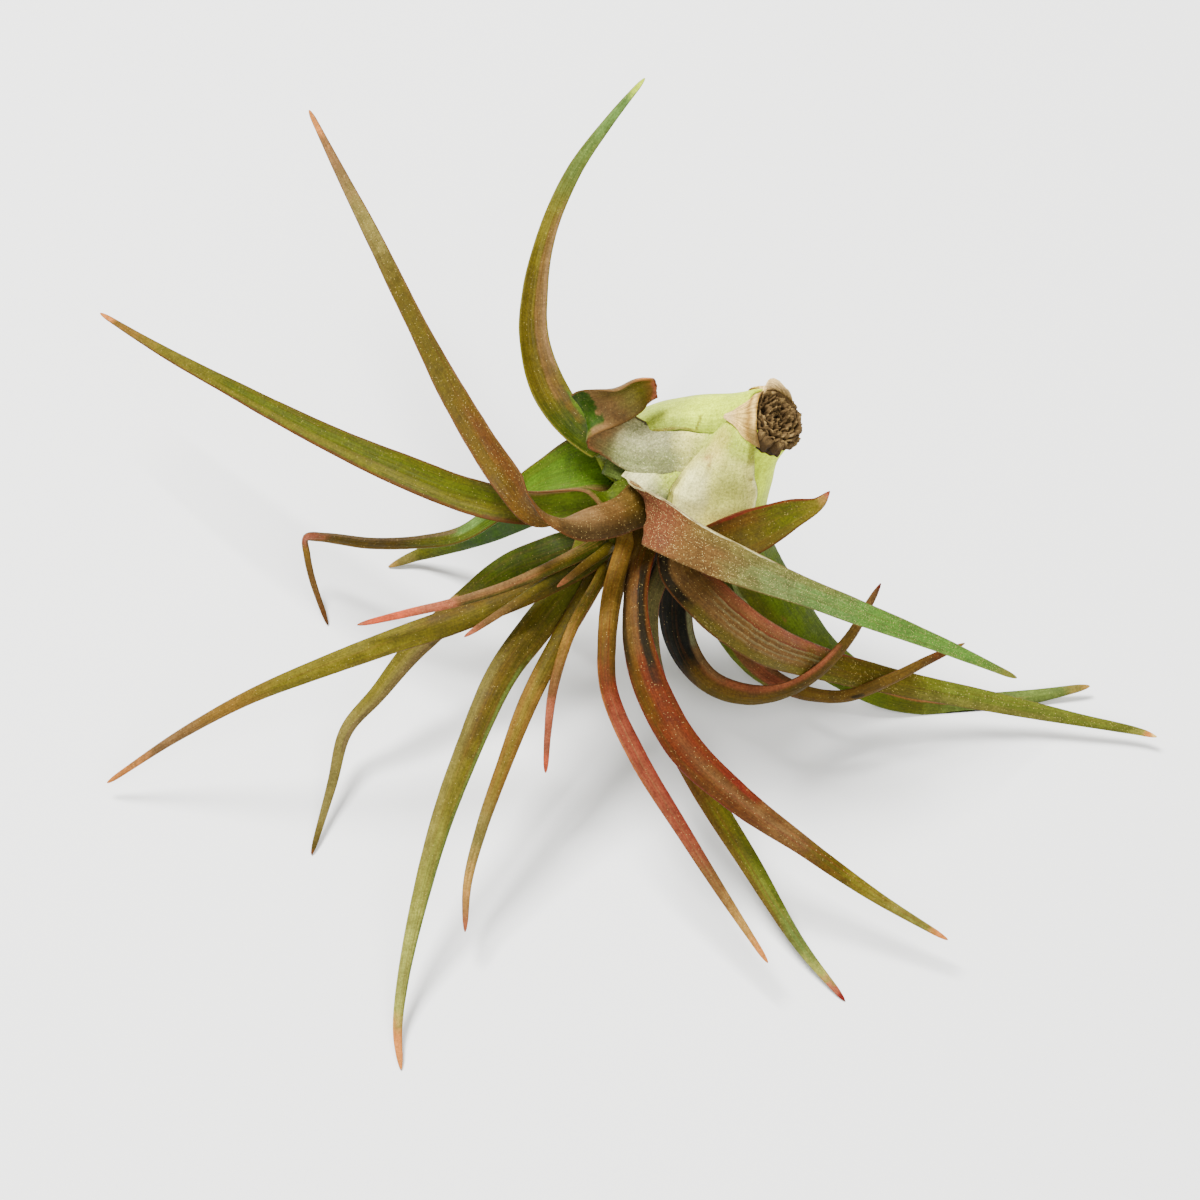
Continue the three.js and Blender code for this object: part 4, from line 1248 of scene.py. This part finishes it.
        base=((13, 8, 6.2, 11), (19, 8, 8.6, 12), (25, 8, 12, 11)),
        blade=(
            (5, 17.6, 57, 8, 195, 80),
            (0, 16, 59, 8, 205, 80),
            (-4.4, 15.4, 61, 8, 230, 90),
            (-9.2, 16, 62.5, 7.6, 270, 90),
            (-13.8, 18.4, 63, 7, 310, 80),
            (-17.2, 22.8, 63, 6.8, 335, 70),
            (-21.9, 29.1, 62.5, 6.1, 350, 70),
            (-29.4, 41.4, 61, 5.3, 352, 60),
            (-36.9, 55.6, 59, 3.9, 355, 60),
            (-44.4, 70.8, 57, 3.4, 355, 50),
            (-51.9, 85.5, 54, 2.2, 355, 50),
            (-58.2, 98, 51, 0.9, 355, 40),
        ),
        skin=LeafSkin(
            inner=((-3, T.LEAF_GREEN), (2.6, T.BROWN), (3.8, T.SIENNA), (6.2, T.SIENNA), (7.4, T.OLIVE), (8.4, T.OLIVE), (9.3, T.KHAKI), (10.2, T.PINK_GREY), (11, T.SALMON)),
            outer=((-3, T.BROWN), (-0.4, T.BROWN), (0.4, T.ROSE_BROWN), (1.3, T.PINK_GREY), (2.2, T.PINK_GREY), (3, T.ROSE_BROWN), (5, T.ROSE_BROWN), (11, T.TAN)),
            rim=T.RED_BROWN,
            film=0.03,
            glint_share=0.35,
            streaks=(
                Streak(T.RED_BROWN, (0.15, 0.8), (4.4, 6.6), 0.6, Face.INNER, 0.35),
                Streak(T.OLIVE, (-0.8, -0.1), (5.0, 7.6), 0.5, Face.INNER, 0.35),
                Streak(T.PINK_GREY, (0.92, 1.2), (4.4, 11), 0.9, Face.INNER, 0.08),
                Streak(T.PINK_GREY, (-1.2, -0.92), (5, 11), 0.7, Face.INNER, 0.08),
                Streak(T.DARK_BROWN, (0.2, 1.2), (-1.4, 2.8), 0.75, Face.OUTER, 0.8),
            ),
        ),
    ),
    Leaf(
        name="leaf_05",
        slot="leaf_green",
        base=((16, 72, 6, 12), (22, 68, 8.6, 13), (29, 62, 12, 12.6)),
        blade=(
            (-4, 26.3, 49, 12.8, 30, 80),
            (-12, 23.6, 42, 7.8, 35, 80),
            (-20, 17.6, 36, 5.4, 40, 80),
            (-27.8, 12.7, 31, 4.3, 45, 80),
            (-36, 11.3, 27.5, 3.6, 45, 80),
            (-46, 11.1, 22.5, 3.1, 45, 80),
            (-55.5, 12.4, 17.5, 2.4, 40, 80),
            (-58.8, 12.4, 14.5, 1.5, 20, 80),
            (-58.6, 9, 10.5, 1.4, 0, 70),
            (-57.5, 4, 5.4, 1.3, 0, 60),
            (-54.4, -5, 0.1, 0.9, 0, 40),
        ),
        skin=LeafSkin(
            inner=((-3, T.BRIGHT_GREEN), (1.8, T.BRIGHT_GREEN), (2.9, T.LEAF_GREEN), (3.8, T.OLIVE_GREEN), (4.5, T.UMBER), (5.6, T.UMBER), (6.2, T.BRICK), (7.1, T.ROSE), (7.8, T.OCHRE), (9, T.ROSE_BROWN), (10, T.RED_BROWN)),
            outer=((-3, T.PALE_GREEN), (2, T.GREY_GREEN), (6, T.MAUVE), (7, T.CRIMSON), (10, T.BROWN)),
            rim=T.BROWN,
            film=0.03,
            streaks=(
                Streak(T.PINK_GREY, (-1.2, -0.8), (-1.2, 0.7), 0.8, Face.INNER),
                Streak(T.GLAUCOUS, (0.0, 1.2), (1.8, 3.1), 0.7, Face.INNER, 0.4),
                Streak(T.MAUVE, (0.5, 1.2), (3.0, 6.2), 0.75, Face.INNER),
            ),
        ),
    ),
    Leaf(
        name="leaf_10",
        slot="leaf_brown",
        base=((16, -44, 6, 11), (23, -47, 9, 13), (30, -50, 12.4, 12)),
        blade=(
            (16.4, 6.6, 43.5, 9.4, 160, 60),
            (22, 0, 42, 9.4, 170, 50),
            (32, -8, 34, 8.8, 175, 50),
            (44, -12.6, 22.5, 6.7, 178, 50),
            (60, -16.6, 13.5, 5.1, 180, 40),
            (79.9, -20.7, 7.5, 4, 180, 40),
            (96, -24, 4.6, 2.5, 180, 40),
            (108.1, -26.4, 3.4, 1.4, 180, 40),
            (111.4, -27.4, 3.4, 0.9, 180, 40),
        ),
        seen_turned=True,
        skin=LeafSkin(
            inner=GREEN_LAP[:-1] + ((8, T.TIP_YELLOW),),
            outer=((-3, T.DARK_BROWN), (-0.4, T.ROSE_BROWN), (1.4, T.ROSE_BROWN), (2.6, T.ROSE_BROWN), (3.1, T.OLIVE), (3.9, T.OLIVE), (4.6, T.YELLOW_GREEN), (6.6, T.YELLOW_GREEN), (7.0, T.TIP_YELLOW), (7.5, T.SALMON), (8, T.STRAW)),
            rim=T.RED_BROWN,
            film=0.02,
            blush=0.25,
            glint_share=0.4,
            streaks=(
                Streak(T.CRIMSON, (-1.2, -0.8), (0.8, 3.4), 0.6, Face.OUTER, 0.12),
                Streak(T.CRIMSON, (-0.42, -0.34), (0.9, 3.0), 0.6, Face.OUTER, 0.1),
                Streak(T.SILVER, (-0.3, -0.26), (1.0, 2.9), 0.5, Face.OUTER, 0.12),
                Streak(T.SILVER, (-0.06, -0.02), (1.1, 3.1), 0.55, Face.OUTER, 0.12),
                Streak(T.SILVER, (0.2, 0.24), (1.3, 2.8), 0.45, Face.OUTER, 0.12),
                Streak(T.SILVER, (0.42, 0.46), (1.5, 2.6), 0.3, Face.OUTER, 0.12),
                # The rose and salmon upper margin is partly the leaf's own pink and partly a painted highlight that
                # lightens it.
                Streak(T.ROSE, (-1.2, -0.5), (-0.4, 3.0), 0.55, Face.OUTER, 0.5),
                Streak(T.SALMON, (-1.2, -0.92), (-0.4, 2.6), 0.5, Face.OUTER, 0.1),
                Streak(T.ROSE_BROWN, (-0.6, 0.6), (-0.6, 0.9), 0.7, Face.OUTER, 0.3),
                Streak(T.DARK_BROWN, (0.55, 1.2), (-0.6, 0.9), 1.0, Face.OUTER, 0.2),
                Streak(T.OLIVE_GREEN, (0.5, 1.2), (0.9, 3.4), 0.6, Face.OUTER, 0.3),
                Streak(T.KHAKI, (0.3, 1.0), (4.2, 5.6), 0.4, Face.OUTER, 0.4),
            ),
        ),
    ),
    Leaf(
        name="leaf_12",
        slot="leaf_dark",
        base=((20, -80, 5.6, 10), (27, -84, 8.6, 12), (33, -88, 11.6, 10)),
        blade=(
            (15.6, 4, 28, 7.6, 170, 80),
            (15.6, -8, 17.5, 7, 200, 80),
            (20.6, -16, 13.5, 6.4, 215, 90),
            (28.4, -19.3, 14, 5.6, 220, 90),
            (36.6, -18.6, 18, 4.6, 225, 90),
            (44.2, -14.2, 23.5, 3.5, 225, 90),
            (50.2, -7.5, 28, 2.8, 225, 90),
            (53.6, -1.4, 31, 1.9, 225, 80),
            (56.2, 3.4, 33, 0.9, 225, 60),
        ),
        seen_turned=True,
        skin=LeafSkin(
            inner=((-3, T.LEAF_GREEN), (8, T.BROWN)),
            # The near-black base of the outer side is painted shade inside the hook.
            outer=((-3, T.SHADE), (1.4, T.SHADE), (2.1, T.BROWN), (3.2, T.BROWN), (4.4, T.UMBER), (6.0, T.BROWN), (6.8, T.ROSE_BROWN), (7.4, T.ROSE_BROWN), (8, T.CRIMSON)),
            rim=T.RED_BROWN,
            film=0.02,
            glint_share=0.1,
            streaks=(
                Streak(T.BRICK, (-1.2, -0.4), (1.7, 5.6), 0.4, Face.OUTER, 0.4),
                Streak(T.ROSE, (-1.2, -0.55), (1.9, 5.6), 0.5, Face.OUTER, 0.3),
                # The pale silver and pink band along the margin at across -1 is a painted highlight where light
                # catches that margin.
                Streak(T.SILVER, (-1.2, -0.64), (-0.6, 1.3), 0.6, Face.OUTER, 0.15),
                Streak(T.PINK_GREY, (-1.2, -0.58), (1.2, 2.4), 0.8, Face.OUTER, 0.2),
                Streak(T.OLIVE, (0.1, 1.2), (2.0, 4.2), 0.5, Face.OUTER),
            ),
        ),
    ),
    Leaf(
        name="leaf_13",
        slot="leaf_dark",
        base=((12, -150, 6.2, 12), (20, -140, 9, 13), (29, -126, 11.6, 11)),
        blade=(
            (23.4, 5, 30, 8, 170, 80),
            (24.4, -4, 20.5, 7.4, 200, 80),
            (30.4, -13.4, 11.5, 6, 215, 90),
            (38.6, -18.2, 9.5, 4.4, 220, 90),
            (48.4, -19.6, 12.5, 3.6, 225, 90),
            (58, -16.2, 17.5, 3, 225, 90),
            (66, -12, 21, 2.3, 225, 80),
            (73, -8.6, 23, 0.9, 225, 60),
        ),
        seen_turned=True,
        skin=LeafSkin(
            inner=((-3, T.LEAF_GREEN), (7, T.BROWN)),
            outer=((-3, T.LEAF_GREEN), (0.6, T.LEAF_GREEN), (1.3, T.ROSE_BROWN), (2.6, T.BRICK), (3.2, T.BROWN), (5.6, T.BROWN), (6.4, T.RED_BROWN), (7, T.TAN)),
            rim=T.RED_BROWN,
            film=0.02,
            streaks=(
                Streak(T.ROSE, (-1.2, -0.45), (1.4, 2.9), 0.6, Face.OUTER, 0.3),
                Streak(T.PINK_GREY, (-1.2, -0.6), (1.4, 2.9), 0.7, Face.OUTER, 0.2),
                Streak(T.MOSS, (0.25, 1.2), (0.2, 2.5), 0.85),
                Streak(T.SHADE, (-0.2, 0.2), (4.2, 4.45), 0.8, Face.OUTER, 0.1, 0.1),
            ),
        ),
    ),
    Leaf(
        name="leaf_15",
        slot="leaf_red",
        base=((20, -20, 5.8, 10), (27, -21, 8, 11), (34, -22, 10, 9)),
        blade=(
            (8.8, 10.4, 46, 5, 200, 80),
            (7, 2, 45.5, 5, 195, 80),
            (7.4, -8, 43, 6, 190, 60),
            (10.4, -18, 39, 6.8, 185, 50),
            (16.8, -29.4, 33, 7, 182, 50),
            (27.2, -39.4, 26.5, 5.8, 180, 40),
            (40.4, -49, 19.5, 3.9, 180, 40),
            (54.5, -58.9, 13, 2.5, 180, 40),
            (69.6, -68, 8, 0.9, 180, 40),
        ),
        seen_turned=True,
        skin=LeafSkin(
            inner=((-3, T.LEAF_GREEN), (8, T.OLIVE)),
            outer=((-3, T.DARK_BROWN), (0, T.BROWN), (0.9, T.RED_BROWN), (5, T.RED_BROWN), (5.8, T.ROSE_BROWN), (6.4, T.OLIVE), (6.9, T.OLIVE_YELLOW), (7.6, T.TIP_YELLOW), (8, T.SALMON)),
            rim=T.CRIMSON,
            blush=0.4,
            film=0.02,
            glint_share=0.25,
            streaks=(
                Streak(T.CRIMSON, (-1.2, -0.5), (2.4, 5.2), 0.6),
                Streak(T.CRIMSON, (0.62, 1.2), (2.4, 4.4), 0.45),
                Streak(T.CRIMSON, (-0.6, 0.5), (2.2, 4.4), 0.65),
                Streak(T.OLIVE, (0.2, 0.85), (1.6, 3.5), 0.5, Face.OUTER, 0.3),
                Streak(T.PINK_GREY, (-0.22, 0.12), (3.9, 5.8), 0.55, Face.OUTER, 0.6, 1.0),
                Streak(T.ROSE_BROWN, (-0.2, 0.6), (0.6, 2.4), 0.5, Face.OUTER, 0.3),
                Streak(T.UMBER, (-1.2, 1.2), (0.9, 4.6), 0.3, Face.OUTER, 0.2, 0.8),
                # The dark brown stripe at across -0.72 to -0.22 is painted shade in the crease there.
                Streak(T.DARK_BROWN, (-0.72, -0.22), (0.3, 2.8), 1.0, Face.OUTER, 0.2, 0.8),
                Streak(T.DARK_BROWN, (0.55, 1.2), (0.3, 2.7), 0.85, Face.OUTER, 0.3, 0.8),
                Streak(T.RED_BROWN, (-0.95, -0.7), (0.4, 2.4), 0.7, Face.OUTER, 0.2),
            ),
        ),
    ),
    Leaf(
        name="leaf_16",
        slot="leaf_red",
        base=((22, -3, 5.2, 9), (29, -3, 7, 10), (36, -2, 9, 8)),
        blade=(
            (5.4, 11, 45, 5, 190, 80),
            (2.6, 2, 44, 4.3, 185, 80),
            (1.4, -8, 42, 3.8, 180, 80),
            (1.8, -18.1, 38.5, 3.5, 180, 70),
            (7.5, -31.3, 32, 3.6, 180, 60),
            (15.9, -45.1, 24.5, 3, 180, 60),
            (24.4, -58.6, 17, 2.1, 180, 50),
            (33.6, -72.6, 9.5, 0.9, 180, 40),
        ),
        seen_turned=True,
        skin=LeafSkin(
            inner=((-3, T.LEAF_GREEN), (7, T.BROWN)),
            outer=((-3, T.TAN), (-0.4, T.TAN), (0.1, T.OCHRE), (1.5, T.OCHRE), (2.1, T.SIENNA), (2.9, T.RED_BROWN), (3.6, T.BRICK), (5.2, T.BRICK), (5.8, T.ROSE_BROWN), (6.5, T.TAN), (7, T.SALMON)),
            rim=T.CRIMSON,
            blush=0.4,
            film=0.02,
            streaks=(
                Streak(T.UMBER, (-1.2, -0.45), (0.3, 2.7), 0.7, Face.OUTER, 0.3),
                Streak(T.CRIMSON, (-1.2, 0.5), (2.8, 5.4), 0.3, Face.BOTH, 0.3, 1.0),
                Streak(T.PINK_GREY, (-0.08, 0.06), (3.2, 6.0), 0.4, Face.OUTER, 0.2, 1.0),
                Streak(T.CRIMSON, (-1.2, -0.6), (2.8, 5.4), 0.4),
                Streak(T.SALMON, (0.78, 1.2), (2.6, 4.6), 0.4, Face.OUTER, 0.2),
            ),
        ),
    ),
    Leaf(
        name="leaf_22",
        slot="leaf_olive",
        base=((24, 26, 5.6, 10), (32, 23, 8, 11), (39, 18, 10.4, 9)),
        blade=(
            (0, 10.4, 42.5, 5.4, 190, 70),
            (-8, 5, 43, 5.4, 195, 60),
            (-18, 0.6, 43, 5.6, 195, 60),
            (-30, -4.2, 41.5, 5.4, 190, 60),
            (-42, -8.4, 38.5, 4.8, 185, 60),
            (-56.2, -13.7, 33.5, 3.9, 180, 50),
            (-70.5, -19.6, 26, 2.8, 180, 50),
            (-84.4, -27.2, 15.5, 1.9, 180, 50),
            (-98.6, -36.6, 3.4, 0.9, 180, 40),
        ),
        seen_turned=True,
        skin=LeafSkin(
            inner=((-3, T.LEAF_GREEN), (8, T.OLIVE_YELLOW)),
            outer=((-3, T.LEAF_GREEN), (0.6, T.OLIVE_DARK), (1.8, T.OLIVE), (3.0, T.OLIVE), (3.8, T.OLIVE_YELLOW), (5.4, T.OLIVE_YELLOW), (6.3, T.OCHRE), (7.2, T.PINK_GREY), (8, T.SALMON)),
            rim=T.RED_BROWN,
            film=0.02,
            streaks=(Streak(T.BROWN, (0.15, 1.2), (0.6, 3.5), 0.5, Face.OUTER, 0.4), Streak(T.OLIVE_YELLOW, (-0.8, 0.1), (2.3, 3.8), 0.45, Face.OUTER, 0.4)),
        ),
    ),
    Leaf(
        name="leaf_20",
        slot="leaf_olive",
        base=((26, 38, 5.2, 10), (34, 34, 7.4, 11), (42, 28, 9.4, 9)),
        blade=(
            (-4, 6, 37.5, 7, 190, 60),
            (-12.7, -5.1, 36.5, 6.8, 190, 60),
            (-19.8, -14.8, 34.5, 6.2, 190, 60),
            (-26.1, -29, 29.5, 5.3, 188, 60),
            (-31.5, -43.4, 22.5, 4.4, 185, 60),
            (-36, -59.7, 14, 3.3, 182, 50),
            (-39.4, -75.8, 6.4, 2.3, 180, 50),
            (-40.5, -86, 2.4, 1.8, 180, 50),
            (-39.8, -94, 0.1, 0.9, 180, 40),
        ),
        seen_turned=True,
        skin=LeafSkin(
            inner=((-3, T.LEAF_GREEN), (8, T.OLIVE_YELLOW)),
            outer=((-3, T.OLIVE_GREEN), (0.4, T.OLIVE_GREEN), (1.2, T.OLIVE), (2.7, T.OLIVE), (3.6, T.OLIVE_YELLOW), (4.8, T.TIP_YELLOW), (5.8, T.STRAW_GREEN), (6.6, T.STRAW_GREEN), (7.2, T.SALMON), (8, T.SALMON)),
            rim=T.ROSE_BROWN,
            film=0.04,
            streaks=(Streak(T.GREY_GREEN, (-1.2, -0.7), (1.6, 6.6), 0.8), Streak(T.KHAKI, (0.25, 1.2), (1.8, 4.6), 0.6, Face.OUTER, 0.4), Streak(T.SIENNA, (-0.2, 0.3), (1.6, 3.2), 0.4, Face.OUTER, 0.4)),
        ),
    ),
    Leaf(
        name="leaf_17",
        slot="leaf_dark",
        base=((24, -48, 5, 9), (31, -50, 7, 10), (38, -52, 9, 8)),
        blade=(
            (12.6, 7.6, 37, 4.8, 190, 80),
            (9.6, -0.4, 33.5, 4.8, 190, 80),
            (9.8, -12, 29, 5, 185, 70),
            (13.6, -24, 24, 5, 182, 60),
            (20.6, -37.6, 17.5, 4.9, 180, 50),
            (29.9, -52.6, 11, 4.2, 180, 50),
            (39.8, -68.7, 4.2, 2.5, 180, 50),
            (49, -80.2, 0.1, 0.9, 180, 40),
        ),
        seen_turned=True,
        skin=LeafSkin(
            inner=((-3, T.LEAF_GREEN), (7, T.GREY_GREEN)),
            outer=((-3, T.DARK_BROWN), (2.6, T.DARK_BROWN), (3.2, T.OCHRE), (3.9, T.OCHRE), (4.4, T.OLIVE_YELLOW), (5.4, T.YELLOW_GREEN), (6.0, T.GREY_GREEN), (6.5, T.STRAW_GREEN), (6.8, T.ROSE), (7, T.CRIMSON)),
            rim=T.CRIMSON,
            rim_from=0.0,
            film=0.02,
            streaks=(
                Streak(T.DUST, (-1.2, 0.3), (-0.3, 2.4), 0.5, Face.OUTER, 0.4),
                Streak(T.RED_BROWN, (0.4, 1.2), (3.2, 5.8), 0.55),
                Streak(T.LEAF_GREEN, (-1.2, -0.4), (3.6, 5.6), 0.5),
            ),
        ),
    ),
    Leaf(
        name="leaf_21",
        slot="leaf_olive",
        base=((22, 84, 5.2, 10), (30, 80, 7.6, 11), (38, 72, 9.6, 10)),
        blade=(
            (-3, 12, 34.5, 7.6, 190, 60),
            (-9, 9.6, 33.5, 7.6, 190, 60),
            (-18, 6, 31, 7.2, 190, 60),
            (-27.4, -0.8, 27, 5.6, 190, 60),
            (-36.9, -9.4, 21, 4.7, 188, 60),
            (-44.5, -18.7, 15, 3.5, 186, 60),
            (-50.8, -26.2, 10, 2.7, 184, 50),
            (-53.6, -36.8, 5, 2, 182, 50),
            (-57.7, -51, 0.1, 0.9, 180, 40),
        ),
        seen_turned=True,
        skin=LeafSkin(
            inner=((-3, T.LEAF_GREEN), (8, T.OLIVE)),
            outer=((-3, T.DARK_MOSS), (0.8, T.DARK_MOSS), (2.2, T.LEAF_GREEN), (3.3, T.OLIVE), (5.0, T.OLIVE_YELLOW), (6.1, T.KHAKI), (7.4, T.KHAKI), (7.8, T.OLIVE), (8, T.CRIMSON)),
            rim=T.ROSE_BROWN,
            film=0.05,
            streaks=(
                Streak(T.MAUVE, (-1.2, -0.2), (3.6, 6.4), 0.55),
                Streak(T.KHAKI, (-0.4, 0.1), (3.6, 5.6), 0.5, Face.OUTER, 0.4),
                Streak(T.ROSE_BROWN, (-1.2, -0.75), (0.6, 2.6), 0.8, Face.OUTER, 0.2),
                Streak(T.TAN, (0.6, 1.2), (2.9, 3.1), 0.9, Face.OUTER, 0.1, 0.1),
            ),
        ),
    ),
    Leaf(
        name="leaf_23",
        slot="leaf_red",
        base=((28, 12, 4, 7), (36, 12, 6, 7), (43, 11, 8, 6)),
        blade=(
            (0, 11.6, 44.5, 3.6, 190, 70),
            (-8, 7.4, 47, 2.8, 190, 70),
            (-18, 3, 48, 2.2, 190, 70),
            (-28, -0.2, 47.5, 1.9, 185, 70),
            (-38, -2.5, 45.5, 1.6, 180, 60),
            (-48.6, -5, 42.5, 0.9, 180, 40),
        ),
        seen_turned=True,
        skin=LeafSkin(
            inner=((-3, T.LEAF_GREEN), (5, T.ROSE)),
            outer=((-3, T.OLIVE_DARK), (0.4, T.OLIVE_DARK), (1.1, T.OLIVE), (1.8, T.ROSE_BROWN), (2.8, T.ROSE_BROWN), (3.5, T.ROSE), (4.6, T.CORAL), (5, T.ROSE)),
            rim=T.ROSE,
            film=0.03,
            streaks=(Streak(T.DARK_MOSS, (-1.2, -0.45), (0.0, 3.0), 0.7, Face.OUTER, 0.4), Streak(T.PINK_GREY, (0.2, 1.2), (0.6, 3.0), 0.6, Face.OUTER, 0.5)),
        ),
    ),
    Leaf(
        name="leaf_19",
        slot="leaf_olive",
        base=((30, 0, 4, 7), (38, 4, 5.6, 7), (45, 8, 7, 6)),
        blade=(
            (-1, 4.4, 38.5, 4.2, 188, 70),
            (-8, -8, 36.5, 4, 186, 60),
            (-14.1, -19.8, 32, 3.8, 184, 60),
            (-19.1, -32.7, 25.5, 3, 182, 60),
            (-23.7, -45.7, 19, 2.3, 180, 60),
            (-26.5, -56.6, 13, 1.7, 180, 50),
            (-27, -66.4, 8, 0.9, 180, 40),
        ),
        seen_turned=True,
        skin=LeafSkin(
            inner=((-3, T.LEAF_GREEN), (6, T.BROWN)),
            outer=((-3, T.OLIVE), (0.5, T.OLIVE), (1.3, T.OLIVE), (1.9, T.OCHRE), (3.2, T.OCHRE), (4.2, T.KHAKI), (5.0, T.TAN), (6, T.ROSE)),
            rim=T.RED_BROWN,
            rim_share=0.1,
            film=0.0,
            streaks=(Streak(T.OLIVE_YELLOW, (-0.3, 0.3), (1.4, 3.6), 0.5, Face.OUTER, 0.4),),
        ),
    ),
    Leaf(
        name="leaf_18",
        slot="leaf_red",
        base=((32, -12, 3.6, 6), (40, -8, 5, 6), (46, -2, 6.4, 5)),
        blade=(
            (0.4, 5, 41.5, 2.6, 185, 70),
            (-5.5, -5.5, 39, 2.2, 182, 70),
            (-9.2, -17, 33, 1.9, 180, 70),
            (-10.4, -26, 26, 1.4, 180, 60),
            (-10.9, -34.6, 17, 0.9, 180, 40),
        ),
        seen_turned=True,
        skin=LeafSkin(
            inner=((-3, T.LEAF_GREEN), (4, T.CRIMSON)),
            outer=((-3, T.OLIVE), (0.6, T.OLIVE), (1.3, T.OCHRE), (1.9, T.ROSE_BROWN), (2.5, T.ROSE), (3.3, T.ROSE), (4, T.CORAL)),
            rim=T.ROSE,
            film=0.02,
        ),
    ),
    Leaf(
        name="leaf_24",
        slot="leaf_brown",
        base=((46, 14, 5, 4), (51, 8, 7, 3.6)),
        blade=((-5, 7.4, 44, 2.4, 185, 70), (-12, 2.6, 46, 2, 182, 70), (-20, -2.6, 46, 1.5, 180, 60), (-27.2, -7.4, 44.5, 0.9, 180, 40)),
        seen_turned=True,
        skin=LeafSkin(
            inner=((-2, T.LEAF_GREEN), (3, T.BROWN)),
            outer=((-2, T.OLIVE_DARK), (0.6, T.OLIVE_DARK), (1.2, T.OLIVE), (2.2, T.ROSE_BROWN), (3, T.ROSE)),
            rim=T.ROSE_BROWN,
            film=0.02,
            streaks=(Streak(T.OLIVE_DARK, (0.6, 1.2), (0.4, 2.0), 0.6, Face.OUTER),),
        ),
    ),
    Leaf(
        name="leaf_25",
        slot="leaf_brown",
        base=((47, 4, 5.4, 3.6),),
        blade=((1.6, 10.4, 44, 2.2, 185, 70), (-3, 7, 47.5, 1.7, 182, 70), (-8.6, 2.6, 49.5, 0.9, 180, 40)),
        seen_turned=True,
        skin=LeafSkin(
            inner=((-1, T.LEAF_GREEN), (2, T.BROWN)),
            outer=((-1, T.OLIVE_YELLOW), (0.4, T.OLIVE), (1.2, T.BROWN), (1.7, T.ROSE_BROWN), (2, T.ROSE)),
            rim=T.ROSE_BROWN,
            film=0.02,
        ),
    ),
    Leaf(
        name="dry_scale_left",
        slot="dry_scale",
        base=((-1.5, 21, 6.2, 13), (0.0, 27, 7.2, 9), (1.4, 33, 7.8, 5), (2.7, 37, 8.3, 2.6), (4.3, 42, 8.9, 0.8)),
        blade=(),
        blunt=True,
        torn=0.3,
        midrib=0.6,
        margin=0.4,
        spacing=0.3,
        skin=LeafSkin(
            inner=((-5, T.TAN), (-1, T.TAN)),
            outer=((-5, T.TAN), (-4.7, T.STRAW), (-4.2, T.TAN), (-3.4, T.STRAW), (-1, T.HUSK)),
            rim=T.TAN,
            glint_share=0.0,
            veins=1.0,
            streaks=(Streak(T.BARK_LIGHT, (0.3, 1.2), (-5.2, -4.3), 0.7, Face.OUTER, 0.4),),
        ),
    ),
    Leaf(
        name="dry_scale_top",
        slot="dry_scale",
        base=((-1.2, 102, 5.9, 3), (-0.9, 116, 5.8, 7.6), (-0.2, 129, 6.1, 9.6), (1.0, 134, 7.0, 9), (3.0, 134, 7.8, 6)),
        blade=(),
        blunt=True,
        torn=0.4,
        midrib=0.6,
        margin=0.4,
        spacing=0.3,
        skin=LeafSkin(
            inner=((-5, T.HUSK), (-3.6, T.HUSK), (-3, T.TAN), (-1, T.BARK)),
            outer=((-5, T.STRAW), (-3, T.HUSK), (-1, T.STRAW)),
            rim=T.HUSK,
            glint_share=0.0,
            veins=1.0,
        ),
    ),
)

STEM_BODY = Turned(
    name="stem_body",
    node="stem",
    slot="stem",
    profile=((1.6, 0), (1.6, 3.6), (3.4, 4.7), (7, 5.2), (15, 5.0), (23, 4.4), (32, 3.4), (42, 2.4), (50, 1.2), (50, 0)),
    skin=DrySkin(T.OLIVE_YELLOW, T.TIP_YELLOW, T.PALE_GREEN, 700.0),
)

STUB = RootStub(
    whorls=(
        Whorl(5.0, 8, -0.9, 66, turn=10),
        Whorl(4.3, 6, -1.6, 78, turn=40, flare=0.5),
        Whorl(3.5, 6, -1.5, 70, turn=15, flare=0.3),
        Whorl(2.6, 5, -1.8, 80, turn=50, flare=0.2),
        Whorl(1.7, 4, -1.4, 90, turn=20, flare=0.0, thickness=0.8),
        Whorl(0.8, 3, -0.7, 100, turn=70, flare=0.0, thickness=0.7),
        Whorl(5.9, 3, -0.9, 25, turn=-7, step=-20, foot_along=2.6, foot_lean=0.9, thickness=0.8, flare=-0.2, jag=0.3),
        Whorl(5.6, 2, -0.9, 36, turn=-62, step=-25, foot_along=1.6, thickness=1.3, flare=0.3),
        Whorl(2.5, 5, 0.3, 100, turn=5, foot_along=1.5, thickness=3.2, flare=0.0, jag=0.2),
    ),
    # dark at the feet as painted shade, light at the rims as painted highlight
    skin=StubSkin(T.CHARCOAL, T.BARK, T.BARK_LIGHT, T.RIM_HIGHLIGHT),
)


def main() -> None:
    """Builds the plant and its surroundings."""
    logging.basicConfig(level=logging.INFO, format="%(name)s: %(message)s")
    STEM_BODY.build()
    STUB.build()
    for leaf in LEAVES:
        leaf.build()
    studio = Studio()
    studio.floor()
    studio.light()
    studio.camera()


if __name__ == "__main__":
    main()
